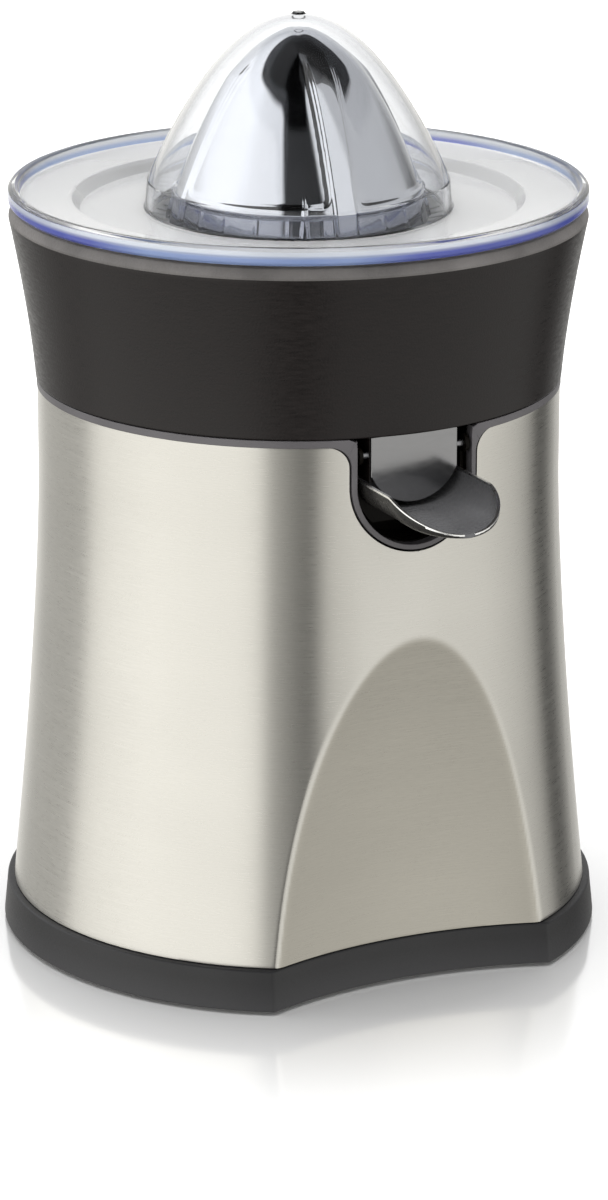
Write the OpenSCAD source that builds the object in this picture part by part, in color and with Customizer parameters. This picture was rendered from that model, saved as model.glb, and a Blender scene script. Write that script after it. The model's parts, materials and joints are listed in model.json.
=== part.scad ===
// Electric citrus press: steel body, spouted juice collector, sieve, pressing cone and clear cover.
// Millimetres. +Z is up, -Y is the front (spout side). The origin is the middle of the round
// footprint, on the surface that the feet stand on.

/* [Base] */
// Radius of the base at its lower edge
base_r = 84.9; // [82:0.1:88]
// Height of the top of the base above the feet
base_top = 12.6; // [11.5:0.1:14]
// Radius of the concave front of the base
notch_r = 121.2; // [119:0.1:123]
// Distance from the axis to the centre of the concave front
notch_y = 186.7; // [184:0.1:190]
// Radius of each rubber foot
foot_r = 8; // [6:0.5:9]
// Radius of the mains cord that the gland takes
cord_r = 3.1; // [2.8:0.05:3.3]

/* [Steel body] */
// Outer radius of the straight upper part
body_r = 73.2; // [72.5:0.1:74]
// Height at which the steel ends under the trim
body_top = 158.3; // [157:0.1:160]
// Height below which the body flares out
flare_top = 135; // [125:1:140]
// Growth of the radius at the foot of the flare
flare_out = 8.3; // [6:0.1:9]
// Thickness of the sheet
sheet = 0.8; // [0.6:0.1:1]
// Top of the arched recess in the front
arch_top = 103; // [95:1:108]
// Distance of the recess from the axis at its foot
arch_foot = 64.1; // [63:0.1:66]
// How much further out the recess is at its top
arch_lean = 10.3; // [9.5:0.1:11]

/* [Juice collector] */
// Height of the lower edge of the collector
bowl_z0 = 160.5; // [160:0.1:162]
// Height of the upper edge of the collector
bowl_z1 = 209.4; // [206:0.1:212]
// Wall thickness of the collector
bowl_wall = 2.6; // [2:0.1:3]
// Growth of the collector's radius towards its upper edge
bowl_flare = 7.9; // [7:0.1:8]
// Outer radius of the chimney around the shaft
chimney_r = 11.2; // [10.8:0.1:12]

/* [Spout] */
// Half width of the opening in the steel
spout_hw = 19.3; // [18.5:0.1:20]
// Height of the centre of the opening's round end
spout_zc = 146.8; // [145:0.1:148]
// Half width of the scoop
scoop_hw = 15.4; // [14:0.1:15.6]
// Distance of the scoop's tip from the axis
scoop_tip = 103.5; // [96:0.5:106]
// Distance from the axis at which the scoop's nose begins
scoop_nose = 87; // [84:0.5:90]
// Height of the scoop's side rims
scoop_rim = 148; // [147:0.1:149]
// Drop of the rim at the tip
scoop_drop = 7.7; // [5:0.1:8]
// Height of the scoop's floor
scoop_floor = 138.6; // [138:0.1:139.5]
// Height of the spout's pivot
pivot_z = 155; // [154.5:0.1:155.5]
// Distance of the spout's pivot from the axis
pivot_y = 69; // [68.5:0.1:69.5]

/* [Cone and cover] */
// Height of the tip of the cone
cone_top = 257.8; // [250:0.1:258]
// Radius of the cone at its lower edge
cone_r = 36.1; // [35:0.1:37]
// Radius of the cone above the flared band
cone_waist = 34.2; // [33:0.1:35]
// Number of broad ribs on the cone
cone_ribs = 4; // [3:1:6]
// Width of each rib
rib_w = 6; // [4:0.5:8]
// Height of each rib above the face of the cone
rib_h = 1.2; // [0.8:0.1:1.4]
// Angle of the first rib from the front
rib_turn = -4.5; // [-45:0.5:45]
// Height of the top of the dome
dome_top = 261.8; // [260:0.1:266]
// Radius of the cover's rim
cover_r = 80.5; // [79:0.1:81]

/* [Drive] */
// Radius of the drive shaft
shaft_r = 4; // [4:0.1:4]
// Travel of the shaft that switches the motor on
press_travel = 2.5; // [2:0.1:2.5]
// Teeth on the output gear
out_teeth = 60; // [60:1:60]
// Teeth on the idler's pinion
mid_pinion_teeth = 12; // [12:1:12]
// Teeth on the idler's wheel
mid_teeth = 60; // [60:1:60]
// Teeth on the motor's pinion
motor_teeth = 12; // [12:1:12]
// Module of the output stage
out_module = 1; // [1:0.05:1]
// Module of the motor stage
mid_module = 0.75; // [0.75:0.05:0.75]

/* [Motor] */
// Height of the laminated stack
stack_h = 24; // [18:1:26]
// Height of the bottom of the stack
stack_z = 40; // [38:1:42]
// Radius of the rotor core
rotor_r = 14; // [12:0.5:14]

/* [Hidden] */
$fn = 96;

eps = 0.05;
far = 300;

// Levels along the axis
plate_z = 1.4;
plate_h = 2.6;
ledge_h = 2;
deck_z = 150;
deck_h = 4;
boss_top = 188;
boss_r = 8.4;
gear_deck_z = 98;
gear_deck_h = 3;
gearbox_top = 133;
out_gear_z = 116;
out_gear_h = 10;
mid_gear_z = 104;
mid_gear_h = 6;
shaft_z0 = 93.1;
shaft_shoulder = 196;
shaft_z1 = 247;
hex_r = 3.9;
spring_z0 = 78;
cup_z0 = 90;
bush_low_z = 97.9;
sieve_z = 197.6;
sieve_t = 1;
cone_z0 = sieve_z + sieve_t + press_travel + 3.4;
band_z1 = 213.3;
cone_peak = 258.5;
bowl_lip_z = 206;
bowl_floor_z = 163;
duct_z0 = 147.5;
duct_gap = 21.5;

// Plan positions
post_r = 64;
foot_x = 60;
foot_y = 34;
foot_plan = concat([[0, 0]], [for (sx = [-1, 1], sy = [-1, 1]) [sx * foot_x, sy * foot_y]]);
post_angles = [45, 135, 225, 315];
mid_y = out_module * (out_teeth + mid_pinion_teeth) / 2;
mid_gap = mid_module * (mid_teeth + motor_teeth) / 2;
motor_dir = -35;
motor_x = mid_gap * cos(motor_dir);
motor_y = mid_y + mid_gap * sin(motor_dir);
motor_turn = atan2(motor_y, motor_x);
stack_top = stack_z + stack_h;
spacer_y = 22;
gland_z = 7.6;
gland_hw = 4;

// Holes and fasteners
screw_r = 1.6;
screw_hole = 1.7;
small_screw_r = 1.45;
pin_r = 1;
idler_pin_r = 2.5;
rotor_shaft_r = 2.5;
bush_r = 6.4;
run_gap = 0.05;

// Switch
switch_z = 78;
switch_screw_x = [-33, -24];
switch_screw_z = 83;
lever_x = -35.6;
lever_z = 89;

// Round parts of the front view of the spout
spout_inner = 17;
tongue_zc = 155.1;

// Radius of the steel body's outside at height z
function body_radius(z) = z > flare_top ? body_r
    : body_r + flare_out * pow((flare_top - z) / (flare_top - 16), 1.5);

// Distance of the recess surface from the axis, on the middle line
function arch_mid(z) = arch_foot + arch_lean * pow(max(0, (z - 20) / (arch_top - 20)), 2);

// Radius of the collector's outside at height z
function bowl_radius(z) = body_r + 0.2
    + bowl_flare * pow(max(0, (min(z, bowl_lip_z) - 157) / 53), 1.4);

// Radius of the cone's outside at height z: a flared band, then a dome with a drawn-in tip
function cone_radius(z) = z < band_z1
    ? cone_waist + (cone_r - cone_waist) * (band_z1 - z) / (band_z1 - cone_z0)
    : cone_waist * sqrt((cone_peak - z) / (cone_peak - band_z1))
        - 1.9 * pow(max(0, (z - 244) / 14), 2);

// Height of the scoop's rim at a distance y in front of the axis
function scoop_rim_z(y) = scoop_rim
    - scoop_drop * pow(max(0, (y - 86) / (scoop_tip - 86)), 1.2);

function steps(a, b, n) = [for (i = [0 : n]) a + (b - a) * i / n];

// Turns a 2D side profile with points [distance in front, height] into a slab across x
module slab_x(x0, x1) {
    translate([x0, 0, 0]) rotate([90, 0, 90]) linear_extrude(x1 - x0) children();
}

// Extrudes a 2D front view with points [x, z] from y0 to y1
module slab_y(y0, y1) {
    translate([0, y1, 0]) rotate([90, 0, 0]) linear_extrude(y1 - y0) children();
}

module tube(r_in, r_out, z0, z1) {
    translate([0, 0, z0]) difference() {
        cylinder(r = r_out, h = z1 - z0);
        translate([0, 0, -1]) cylinder(r = r_in, h = z1 - z0 + 2);
    }
}

module at_posts() {
    for (a = post_angles) rotate(a) translate([post_r, 0, 0]) children();
}

module at_motor() {
    translate([motor_x, motor_y, 0]) rotate(motor_turn) children();
}

// Pan-head screw, head down, shank up from the origin
module screw(shank_r, head_r, head_h, length) {
    cylinder(r = shank_r, h = length, $fn = 32);
    translate([0, 0, -head_h]) difference() {
        cylinder(r = head_r, h = head_h, $fn = 32);
        for (a = [0, 90]) rotate(a) translate([-head_r * 0.7, -0.35, -1])
            cube([head_r * 1.4, 0.7, 1 + head_h / 2]);
    }
}

// ---- Base ----

module footprint(inset) {
    difference() {
        circle(r = base_r - inset, $fn = 160);
        translate([0, -notch_y]) circle(r = notch_r + inset, $fn = 160);
    }
}

module base_solid() {
    difference() {
        translate([0, 0, 1]) cylinder(r1 = base_r, r2 = base_r - 1.2, h = base_top - 1, $fn = 160);
        translate([0, -notch_y, 0]) cylinder(r1 = notch_r, r2 = notch_r + 1, h = base_top + 1,
            $fn = 160);
    }
}

module base_skirt() {
    color("dimgray") difference() {
        union() {
            base_solid();
            translate([0, 0, base_top - 1]) linear_extrude(4.4) difference() {
                footprint(5);
                footprint(6.8);
            }
        }
        linear_extrude(base_top - ledge_h) footprint(3.6);
        linear_extrude(far) footprint(13);
        translate([-gland_hw, 60, -1]) cube([2 * gland_hw, 40, gland_z + gland_hw + 1]);
    }
}

module bottom_plate() {
    color("black") difference() {
        union() {
            translate([0, 0, plate_z]) linear_extrude(plate_h) footprint(3.8);
            at_posts() translate([0, 0, plate_z + plate_h - eps]) cylinder(r = 6, h = 2 + eps);
        }
        at_posts() translate([0, 0, -1]) cylinder(r = 2.1, h = 20, $fn = 32);
        at_posts() translate([0, 0, -1]) cylinder(r = 4.4, h = 3.9, $fn = 32);
        for (p = foot_plan) translate([p[0], p[1], 0]) cylinder(r = 3, h = 20, $fn = 32);
        for (x = [-42 : 7 : 42]) translate([x - 1.5, 12, 0]) cube([3, 32, 20]);
        translate([-6.5, 73, 0]) cube([13, 20, 20]);
    }
}

module rubber_feet() {
    color("black") for (p = foot_plan) translate([p[0], p[1], 0]) {
        cylinder(r = foot_r, h = plate_z, $fn = 48);
        cylinder(r = 3, h = plate_z + plate_h, $fn = 32);
        translate([0, 0, plate_z + plate_h]) cylinder(r1 = 4, r2 = 2.6, h = 2, $fn = 32);
    }
}

module base_screws() {
    color("silver") at_posts() translate([0, 0, 2.9]) screw(screw_r, 3.4, 1.4, 16);
}

// Square body in the slot of the base, with a flange on each side of the wall
module cord_gland() {
    color("black") difference() {
        union() {
            translate([-gland_hw, 76, 1.2]) cube([2 * gland_hw, 9, gland_z + gland_hw - 1.2]);
            translate([0, 84.6, gland_z]) rotate([-90, 0, 0]) cylinder(r = 5, h = 1.4, $fn = 48);
            translate([-5.4, 79.5, 1.6]) cube([10.8, 1.6, base_top - ledge_h - 1.7]);
        }
        translate([0, 70, gland_z]) rotate([-90, 0, 0]) cylinder(r = cord_r + 0.2, h = 20, $fn = 48);
    }
}

module terminal_block() {
    color("ivory") difference() {
        translate([-15, 52, plate_z + plate_h]) cube([30, 14, 11]);
        for (x = [-9, 0, 9]) {
            translate([x, 59, plate_z + plate_h + 5]) cylinder(r = 2, h = 20, $fn = 32);
            translate([x, 40, plate_z + plate_h + 4]) rotate([-90, 0, 0])
                cylinder(r = 1.6, h = 40, $fn = 32);
        }
    }
}

// ---- Steel body ----

// Solid inside the body's surface, pushed in by inset
module body_solid(inset, z0, z1) {
    zs = concat(steps(z0, flare_top, 20), [z1]);
    zr = steps(z0 - 1, arch_top + 9, 22);
    difference() {
        rotate_extrude($fn = 160) polygon(concat(
            [[0, z0]], [for (z = zs) [body_radius(z) - inset, z]], [[0, z1]]));
        translate([0, -186, 0]) rotate_extrude($fn = 160) polygon(concat(
            [[0, z0 - 1]], [for (z = zr) [186 - arch_mid(z) + inset, z]], [[0, arch_top + 9]]));
    }
}

// Front view of the spout opening, open at the top, with flared upper corners
module spout_outline(half, flare) {
    corner = body_top - flare;
    translate([0, spout_zc]) circle(r = half, $fn = 96);
    translate([-half, spout_zc]) square([2 * half, far]);
    if (flare > 0) difference() {
        translate([-half - flare, corner]) square([2 * (half + flare), far]);
        for (s = [-1, 1]) translate([s * (half + flare), corner]) circle(r = flare, $fn = 64);
    }
}

module steel_shell() {
    color("silver") difference() {
        body_solid(0, base_top + 0.3, body_top);
        body_solid(sheet, base_top - 1, body_top + 1);
        slab_y(-far, -40) spout_outline(spout_hw, 6);
    }
}

module spout_trim() {
    color("dimgray") {
        difference() {
            tube(70.3, 73.4, body_top, 160.3, $fn = 160);
            slab_y(-far, -40) spout_outline(spout_inner, 0);
        }
        difference() {
            intersection() {
                tube(70.3, 73.7, 120, body_top, $fn = 160);
                slab_y(-80, -40) spout_outline(spout_hw - 0.2, 6);
            }
            slab_y(-far, -40) spout_outline(spout_inner, 0);
        }
    }
}

module deck() {
    color("black") difference() {
        union() {
            translate([0, 0, deck_z]) cylinder(r = 72.2, h = deck_h, $fn = 160);
            tube(70.3, 72.2, deck_z, body_top - 0.1, $fn = 160);
            tube(bush_r, boss_r, deck_z - 4, boss_top);
            at_posts() translate([0, 0, deck_z - 4]) cylinder(r = 5.5, h = 5, $fn = 48);
            intersection() {
                slab_y(-70.2, -56.5) spout_outline(18.9, 0);
                translate([0, 0, 100]) cylinder(r = 70.25, h = body_top - 100.2, $fn = 160);
            }
        }
        slab_y(-far, -58.5) spout_outline(spout_inner, 0);
        difference() {
            slab_y(-far, -60) spout_outline(25.5, 0);
            slab_y(-far, -56) spout_outline(18.9, 0);
        }
        intersection() {
            slab_y(-far, -60) spout_outline(25.5, 0);
            tube(70.25, 80, 100, 200, $fn = 160);
        }
        translate([0, 0, deck_z - 5]) cylinder(r = bush_r, h = 60);
        at_posts() translate([0, 0, deck_z - 6]) cylinder(r = screw_hole, h = 20, $fn = 32);
        at_posts() translate([0, 0, deck_z + deck_h - 2]) cylinder(r = 3.6, h = 20, $fn = 32);
    }
}

module deck_screws() {
    color("silver") at_posts() translate([0, 0, deck_z + deck_h - 2]) rotate([180, 0, 0])
        screw(screw_r, 3.4, 1.6, 16);
}

module lower_posts() {
    color("gray") at_posts() difference() {
        union() {
            translate([0, 0, plate_z + plate_h + 2]) cylinder(r = 4, h = 92, $fn = 48);
            translate([0, 0, plate_z + plate_h + 2]) cylinder(r = 5.5, h = 6, $fn = 48);
        }
        cylinder(r = screw_r, h = 22, $fn = 32);
        translate([0, 0, gear_deck_z - 12]) cylinder(r = screw_hole, h = 20, $fn = 32);
    }
}

module upper_posts() {
    color("gray") at_posts() {
        difference() {
            translate([0, 0, gear_deck_z + gear_deck_h])
                cylinder(r = 4, h = deck_z - 4 - gear_deck_z - gear_deck_h, $fn = 48);
            translate([0, 0, deck_z - 18]) cylinder(r = screw_r, h = 20, $fn = 32);
        }
        translate([0, 0, gear_deck_z - 8])
            cylinder(r = screw_hole, h = gear_deck_h + 8 + eps, $fn = 32);
    }
}

// ---- Gearbox ----

// Involute angle, in degrees, at radius r of a gear with base radius rb
function involute(rb, r) = r <= rb ? 0 : sqrt(pow(r / rb, 2) - 1) * 180 / PI - acos(rb / r);

// Outline of a spur gear. slack narrows each tooth at the pitch circle.
function gear_points(m, n, addendum, dedendum, slack) =
    let (rp = m * n / 2, rb = rp * cos(20), rt = rp + addendum, rr = rp - dedendum,
        half = 90 / n - slack * 90 / (PI * rp),
        levels = [rr, max(rb, rr + 0.1), (max(rb, rr + 0.1) + rp) / 2, rp, (rp + rt) / 2, rt])
    [for (i = [0 : n - 1])
        each concat(
            [for (k = [0 : 5]) let (r = levels[k],
                a = 360 * i / n - half - involute(rb, rp) + involute(rb, r)) [r * cos(a), r * sin(a)]],
            [for (k = [5 : -1 : 0]) let (r = levels[k],
                a = 360 * i / n + half + involute(rb, rp) - involute(rb, r)) [r * cos(a), r * sin(a)]])
    ];

module gear_2d(m, n, addendum, slack) {
    polygon(gear_points(m, n, addendum, 1.25 * m, slack));
}

module gearbox_outline(grow) {
    circle(r = 33.6 + grow);
    translate([0, mid_y]) circle(r = 25.6 + grow);
    translate([motor_x, motor_y]) circle(r = 8.6 + grow, $fn = 64);
}

gearbox_screw_plan = concat([for (a = [180, 270, 348]) 38.8 * [cos(a), sin(a)]],
    [for (a = [55, 125]) [0, mid_y] + 30.8 * [cos(a), sin(a)]]);

module gear_deck() {
    color("gray") difference() {
        union() {
            translate([0, 0, gear_deck_z]) difference() {
                cylinder(r = 69.5, h = gear_deck_h, $fn = 120);
                for (a = [200, 270, 340]) rotate(a) translate([57, 0, -1])
                    cylinder(r = 8, h = 10, $fn = 64);
            }
            tube(9.2, 11.4, spring_z0 - 2, gear_deck_z + eps);
            translate([0, 0, spring_z0 - 2]) cylinder(r = 11.4, h = 2);
            translate([-36, 5.1, switch_z]) cube([16, 2, gear_deck_z - switch_z + eps]);
            for (p = gearbox_screw_plan) translate([p[0], p[1], gear_deck_z - 5])
                cylinder(r = 3.2, h = 6, $fn = 32);
        }
        translate([0, 0, gear_deck_z - 1]) cylinder(r = bush_r, h = 20);
        translate([-14, -2.6, 86.5]) cube([8, 5.2, 9]);
        at_posts() translate([0, 0, gear_deck_z - 1]) cylinder(r = screw_hole, h = 10, $fn = 32);
        translate([0, mid_y, gear_deck_z - 1]) cylinder(r = idler_pin_r, h = 10, $fn = 48);
        at_motor() {
            translate([0, 0, gear_deck_z - 1]) cylinder(r = 6, h = 10, $fn = 48);
            for (s = [-1, 1]) translate([0, s * spacer_y, gear_deck_z - 1])
                cylinder(r = screw_hole, h = 10, $fn = 32);
        }
        for (p = gearbox_screw_plan) translate([p[0], p[1], gear_deck_z - 8])
            cylinder(r = 1.5, h = 20, $fn = 32);
        for (x = switch_screw_x) translate([x, 0, switch_screw_z]) rotate([-90, 0, 0])
            cylinder(r = 1.2, h = 20, $fn = 32);
    }
}

module gearbox_cover() {
    z0 = gear_deck_z + gear_deck_h;
    color("gray") difference() {
        union() {
            translate([0, 0, z0]) linear_extrude(gearbox_top - z0) gearbox_outline(2);
            for (p = gearbox_screw_plan) translate([p[0], p[1], z0]) cylinder(r = 4.2, h = 6, $fn = 32);
        }
        translate([0, 0, z0 - 1]) linear_extrude(gearbox_top - z0 - 2) gearbox_outline(0);
        cylinder(r = 9, h = far);
        translate([0, mid_y, 0]) cylinder(r = idler_pin_r, h = far, $fn = 48);
        for (p = gearbox_screw_plan) translate([p[0], p[1], 0])
            cylinder(r = screw_hole, h = far, $fn = 32);
        for (a = [150, 180, 210, 240, 300]) rotate(a) translate([22, 0, 0])
            cylinder(r = 3, h = far, $fn = 32);
    }
}

module gearbox_screws() {
    color("silver") for (p = gearbox_screw_plan) translate([p[0], p[1], gear_deck_z + gear_deck_h + 6])
        rotate([180, 0, 0]) screw(small_screw_r, 3, 1.6, 13);
}

module shaft_bush_upper() {
    color("peru") {
        tube(shaft_r + run_gap, bush_r, 166, boss_top - 1);
        tube(shaft_r + run_gap, bush_r, deck_z - 4, deck_z + 6);
    }
}

module shaft_bush_lower() {
    color("peru") {
        tube(shaft_r + run_gap, bush_r, bush_low_z, 106);
        tube(6.3, 8.5, 101, 102.6);
    }
}

module shaft_seal() {
    color("firebrick") {
        tube(shaft_r + 0.08, 6.3, boss_top - 0.9, boss_top + 1);
        tube(6.2, boss_r - 0.3, boss_top, boss_top + 1);
        tube(shaft_r + 0.08, 5.2, boss_top + 0.9, boss_top + 3);
    }
}

module idler_pin() {
    color("silver") translate([0, mid_y, gear_deck_z])
        cylinder(r = idler_pin_r, h = gearbox_top - gear_deck_z, $fn = 48);
}

module idler_gear() {
    color("ivory") translate([0, mid_y, 0]) difference() {
        union() {
            translate([0, 0, mid_gear_z]) linear_extrude(mid_gear_h)
                rotate(motor_dir) gear_2d(mid_module, mid_teeth, 0.6, 0.24);
            translate([0, 0, mid_gear_z + mid_gear_h - eps]) linear_extrude(18.5)
                rotate(180 / mid_pinion_teeth + 90)
                gear_2d(out_module, mid_pinion_teeth, 1, 0.28);
            translate([0, 0, mid_gear_z - 2]) cylinder(r = 5, h = 3, $fn = 64);
        }
        translate([0, 0, 90]) cylinder(r = idler_pin_r + 0.06, h = 60, $fn = 48);
        for (a = [0 : 60 : 300]) rotate(a) translate([14, 0, 90]) cylinder(r = 3.6, h = 60, $fn = 48);
    }
}

// ---- Drive shaft ----

module helix_wire(mean_r, wire_r, z0, z1, turns) {
    sides = 6;
    rings = turns * 14;
    points = [for (i = [0 : rings], k = [0 : sides - 1])
        let (a = 360 * turns * i / rings, z = z0 + wire_r + (z1 - z0 - 2 * wire_r) * i / rings,
            b = 360 * k / sides)
        [(mean_r + wire_r * cos(b)) * cos(a), (mean_r + wire_r * cos(b)) * sin(a),
            z + wire_r * sin(b)]];
    sides_faces = [for (i = [0 : rings - 1], k = [0 : sides - 1])
        let (n = (k + 1) % sides)
        [i * sides + k, (i + 1) * sides + k, (i + 1) * sides + n, i * sides + n]];
    ends = [[for (k = [0 : sides - 1]) k], [for (k = [sides - 1 : -1 : 0]) rings * sides + k]];
    polyhedron(points, concat(sides_faces, ends), convexity = 10);
}

module return_spring() {
    color("silver") helix_wire(7.4, 0.65, spring_z0, cup_z0, 5);
}

module thrust_cup() {
    color("ivory") difference() {
        union() {
            translate([0, 0, cup_z0]) cylinder(r = 8.8, h = 2);
            translate([0, 0, cup_z0]) cylinder(r = 6, h = 7.6);
            translate([-16, -2, cup_z0]) cube([12, 4, 2]);
        }
        translate([0, 0, shaft_z0 - 0.1]) cylinder(r = shaft_r + 0.1, h = 20);
    }
}

module drive_shaft() {
    color("silver") difference() {
        union() {
            translate([0, 0, shaft_z0]) cylinder(r = shaft_r, h = shaft_shoulder - shaft_z0);
            translate([0, 0, shaft_shoulder - 1]) cylinder(r = hex_r, h = shaft_z1 - shaft_shoulder + 1,
                $fn = 6);
        }
        tube(3.4, 8, out_gear_z + out_gear_h, out_gear_z + out_gear_h + 1.2);
    }
}

module output_gear() {
    color("ivory") difference() {
        union() {
            translate([0, 0, out_gear_z]) linear_extrude(out_gear_h)
                rotate(90) gear_2d(out_module, out_teeth, 0.8, 0.28);
            translate([0, 0, out_gear_z - 3]) cylinder(r = 9, h = out_gear_h + 3);
        }
        cylinder(r = shaft_r, h = far);
        for (a = [0 : 60 : 300]) rotate(a) translate([18.5, 0, 0]) cylinder(r = 5.5, h = far, $fn = 48);
    }
}

module shaft_clip() {
    color("silver") difference() {
        tube(3.4, 6.2, out_gear_z + out_gear_h, out_gear_z + out_gear_h + 1.2);
        translate([0, -1.2, 100]) cube([10, 2.4, 60]);
    }
}

// ---- Motor ----

module motor_stator() {
    color("slategray") at_motor() translate([0, 0, stack_z]) linear_extrude(stack_h) difference() {
        translate([-50, -27]) square([76, 54]);
        translate([-38, -15]) square([20, 30]);
        circle(r = rotor_r + 0.5);
        for (s = [-1, 1]) translate([0, s * spacer_y]) circle(r = 1.75, $fn = 32);
        for (sx = [-1, 1], sy = [-1, 1]) translate([sx * 15, sy * 10]) circle(r = 1.2, $fn = 32);
    }
}

module motor_coil() {
    color("darkred") at_motor() difference() {
        union() {
            translate([-57, -13.5, stack_z - 8]) cube([26, 27, stack_h + 16]);
            for (y = [-14.9, 13.4]) translate([-58, y, stack_z - 9]) cube([28, 1.5, stack_h + 18]);
        }
        translate([-50, -20, stack_z]) cube([12, 40, stack_h]);
    }
}

module motor_bracket(flip) {
    difference() {
        union() {
            translate([-9, -27, 5]) cube([18, 54, 2.5]);
            for (s = [-1, 1]) translate([0, s * spacer_y, 0]) cylinder(r = 4.6, h = 7.5, $fn = 48);
            translate([0, 0, 3]) cylinder(r = 8, h = 6, $fn = 64);
        }
        translate([0, 0, -1]) cylinder(r = 5.5, h = 20, $fn = 64);
        for (s = [-1, 1]) translate([0, s * spacer_y, -1]) cylinder(r = 1.75, h = 20, $fn = 32);
    }
}

module motor_bracket_top() {
    color("lightgray") at_motor() translate([0, 0, stack_top]) motor_bracket();
}

module motor_bracket_bottom() {
    color("lightgray") at_motor() translate([0, 0, stack_z]) mirror([0, 0, 1]) motor_bracket();
}

module motor_bearings() {
    color("peru") at_motor() {
        tube(rotor_shaft_r + run_gap, 5.5, stack_top + 3, stack_top + 9);
        tube(rotor_shaft_r + run_gap, 5.5, stack_z - 9, stack_z - 3);
    }
}

module motor_spacers() {
    color("black") at_motor() for (s = [-1, 1]) translate([0, s * spacer_y, 0])
        tube(1.8, 4, stack_top + 7.5, gear_deck_z);
}

module motor_screws() {
    color("silver") at_motor() for (s = [-1, 1]) translate([0, s * spacer_y, stack_z - 7.5])
        screw(screw_r, 3.4, 2, gear_deck_z + gear_deck_h - stack_z + 7);
}

module rotor_core() {
    color("slategray") at_motor() difference() {
        translate([0, 0, stack_z + 0.5]) cylinder(r = rotor_r, h = stack_h - 1);
        cylinder(r = rotor_shaft_r, h = far, $fn = 48);
        for (a = [0 : 30 : 330]) rotate(a) translate([12, 0, 0]) cylinder(r = 1, h = far, $fn = 24);
    }
}

module rotor_shaft() {
    color("silver") at_motor() translate([0, 0, 19])
        cylinder(r = rotor_shaft_r, h = 91.5, $fn = 48);
}

module motor_pinion() {
    color("goldenrod") translate([motor_x, motor_y, 102.5]) linear_extrude(8.5) difference() {
        rotate(motor_dir + 180 + 180 / motor_teeth)
            gear_2d(mid_module, motor_teeth, 0.75, 0.24);
        circle(r = rotor_shaft_r, $fn = 48);
    }
}

module cooling_fan() {
    color("dimgray") at_motor() difference() {
        union() {
            translate([0, 0, 20]) cylinder(r = 5, h = 8, $fn = 64);
            translate([0, 0, 20]) cylinder(r = 21, h = 1.2);
            for (a = [0 : 40 : 320]) rotate(a) translate([4, -0.6, 20]) cube([16.5, 1.2, 8]);
        }
        cylinder(r = rotor_shaft_r, h = far, $fn = 48);
    }
}

// ---- Switch ----

module switch_body() {
    color("black") difference() {
        union() {
            translate([-38, -5, switch_z]) cube([20, 10, 8.2]);
            for (y = [-5, 3.6]) translate([lever_x - 2, y, switch_z + 8.1]) cube([4, 1.4, 4.9]);
            for (x = [-35, -28, -21]) translate([x - 1.5, -0.4, 73.4]) cube([3, 0.8, 5]);
        }
        for (x = switch_screw_x) translate([x, -10, switch_screw_z]) rotate([-90, 0, 0])
            cylinder(r = 1.25, h = 20, $fn = 32);
        translate([lever_x, -10, lever_z]) rotate([-90, 0, 0])
            cylinder(r = 0.8 + run_gap, h = 20, $fn = 32);
    }
}

module switch_screws() {
    color("silver") for (x = switch_screw_x) translate([x, -5, switch_screw_z]) rotate([-90, 0, 0])
        screw(1.15, 2.2, 1.2, 13);
}

module switch_lever() {
    color("silver") {
        translate([lever_x, -5.3, lever_z]) rotate([-90, 0, 0]) cylinder(r = 0.8, h = 10.3, $fn = 32);
        translate([lever_x - 0.4, -2.6, lever_z - 0.4]) cube([24.5, 5.2, 0.8]);
        translate([-12.9, -2.6, lever_z + 0.2]) rotate([-90, 0, 0]) cylinder(r = 0.7, h = 5.2, $fn = 32);
    }
}

// Round lead swept along a list of points, with one ring square to the path at each point
module lead(path, radius) {
    sides = 8;
    n = len(path);
    dirs = [for (i = [0 : n - 1]) let (d = path[min(n - 1, i + 1)] - path[max(0, i - 1)]) d / norm(d)];
    points = [for (i = [0 : n - 1]) let (d = dirs[i],
            u = cross(d, abs(d[2]) > 0.9 ? [1, 0, 0] : [0, 0, 1]), v = u / norm(u), w = cross(d, v))
        for (k = [0 : sides - 1]) path[i] + radius * (cos(360 * k / sides) * v
            + sin(360 * k / sides) * w)];
    walls = [for (i = [0 : n - 2], k = [0 : sides - 1]) let (m = (k + 1) % sides)
        [i * sides + m, (i + 1) * sides + m, (i + 1) * sides + k, i * sides + k]];
    ends = [[for (k = [sides - 1 : -1 : 0]) k + 0], [for (k = [0 : sides - 1]) (n - 1) * sides + k]];
    polyhedron(points, concat(walls, [for (e = ends) [for (k = [sides - 1 : -1 : 0]) e[k]]]),
        convexity = 6);
}

// Rounds the corners of a route by cutting each one twice
function cut_corners(p) = concat([p[0]],
    [for (i = [0 : len(p) - 2]) each [0.75 * p[i] + 0.25 * p[i + 1], 0.25 * p[i] + 0.75 * p[i + 1]]],
    [p[len(p) - 1]]);

module internal_leads() {
    color("royalblue") lead(cut_corners(cut_corners([[-9, 50, 8], [-9, 46, 8], [-40, 40, 12],
        [-58, 12, 30], [-56, 0, 62], [-38, -1, 66], [-35, 0, 69], [-35, 0, 73.3]])), 1);
    color("saddlebrown") lead(cut_corners(cut_corners([[9, 50, 8], [9, 46, 8], [0, 40, 10],
        [-16, 28, 18], [-22, 12, 24], [-12, -2, 26], [-8, -4, 29], [-8, -4, 31.5]])), 1);
}

// ---- Juice collector ----

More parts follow.
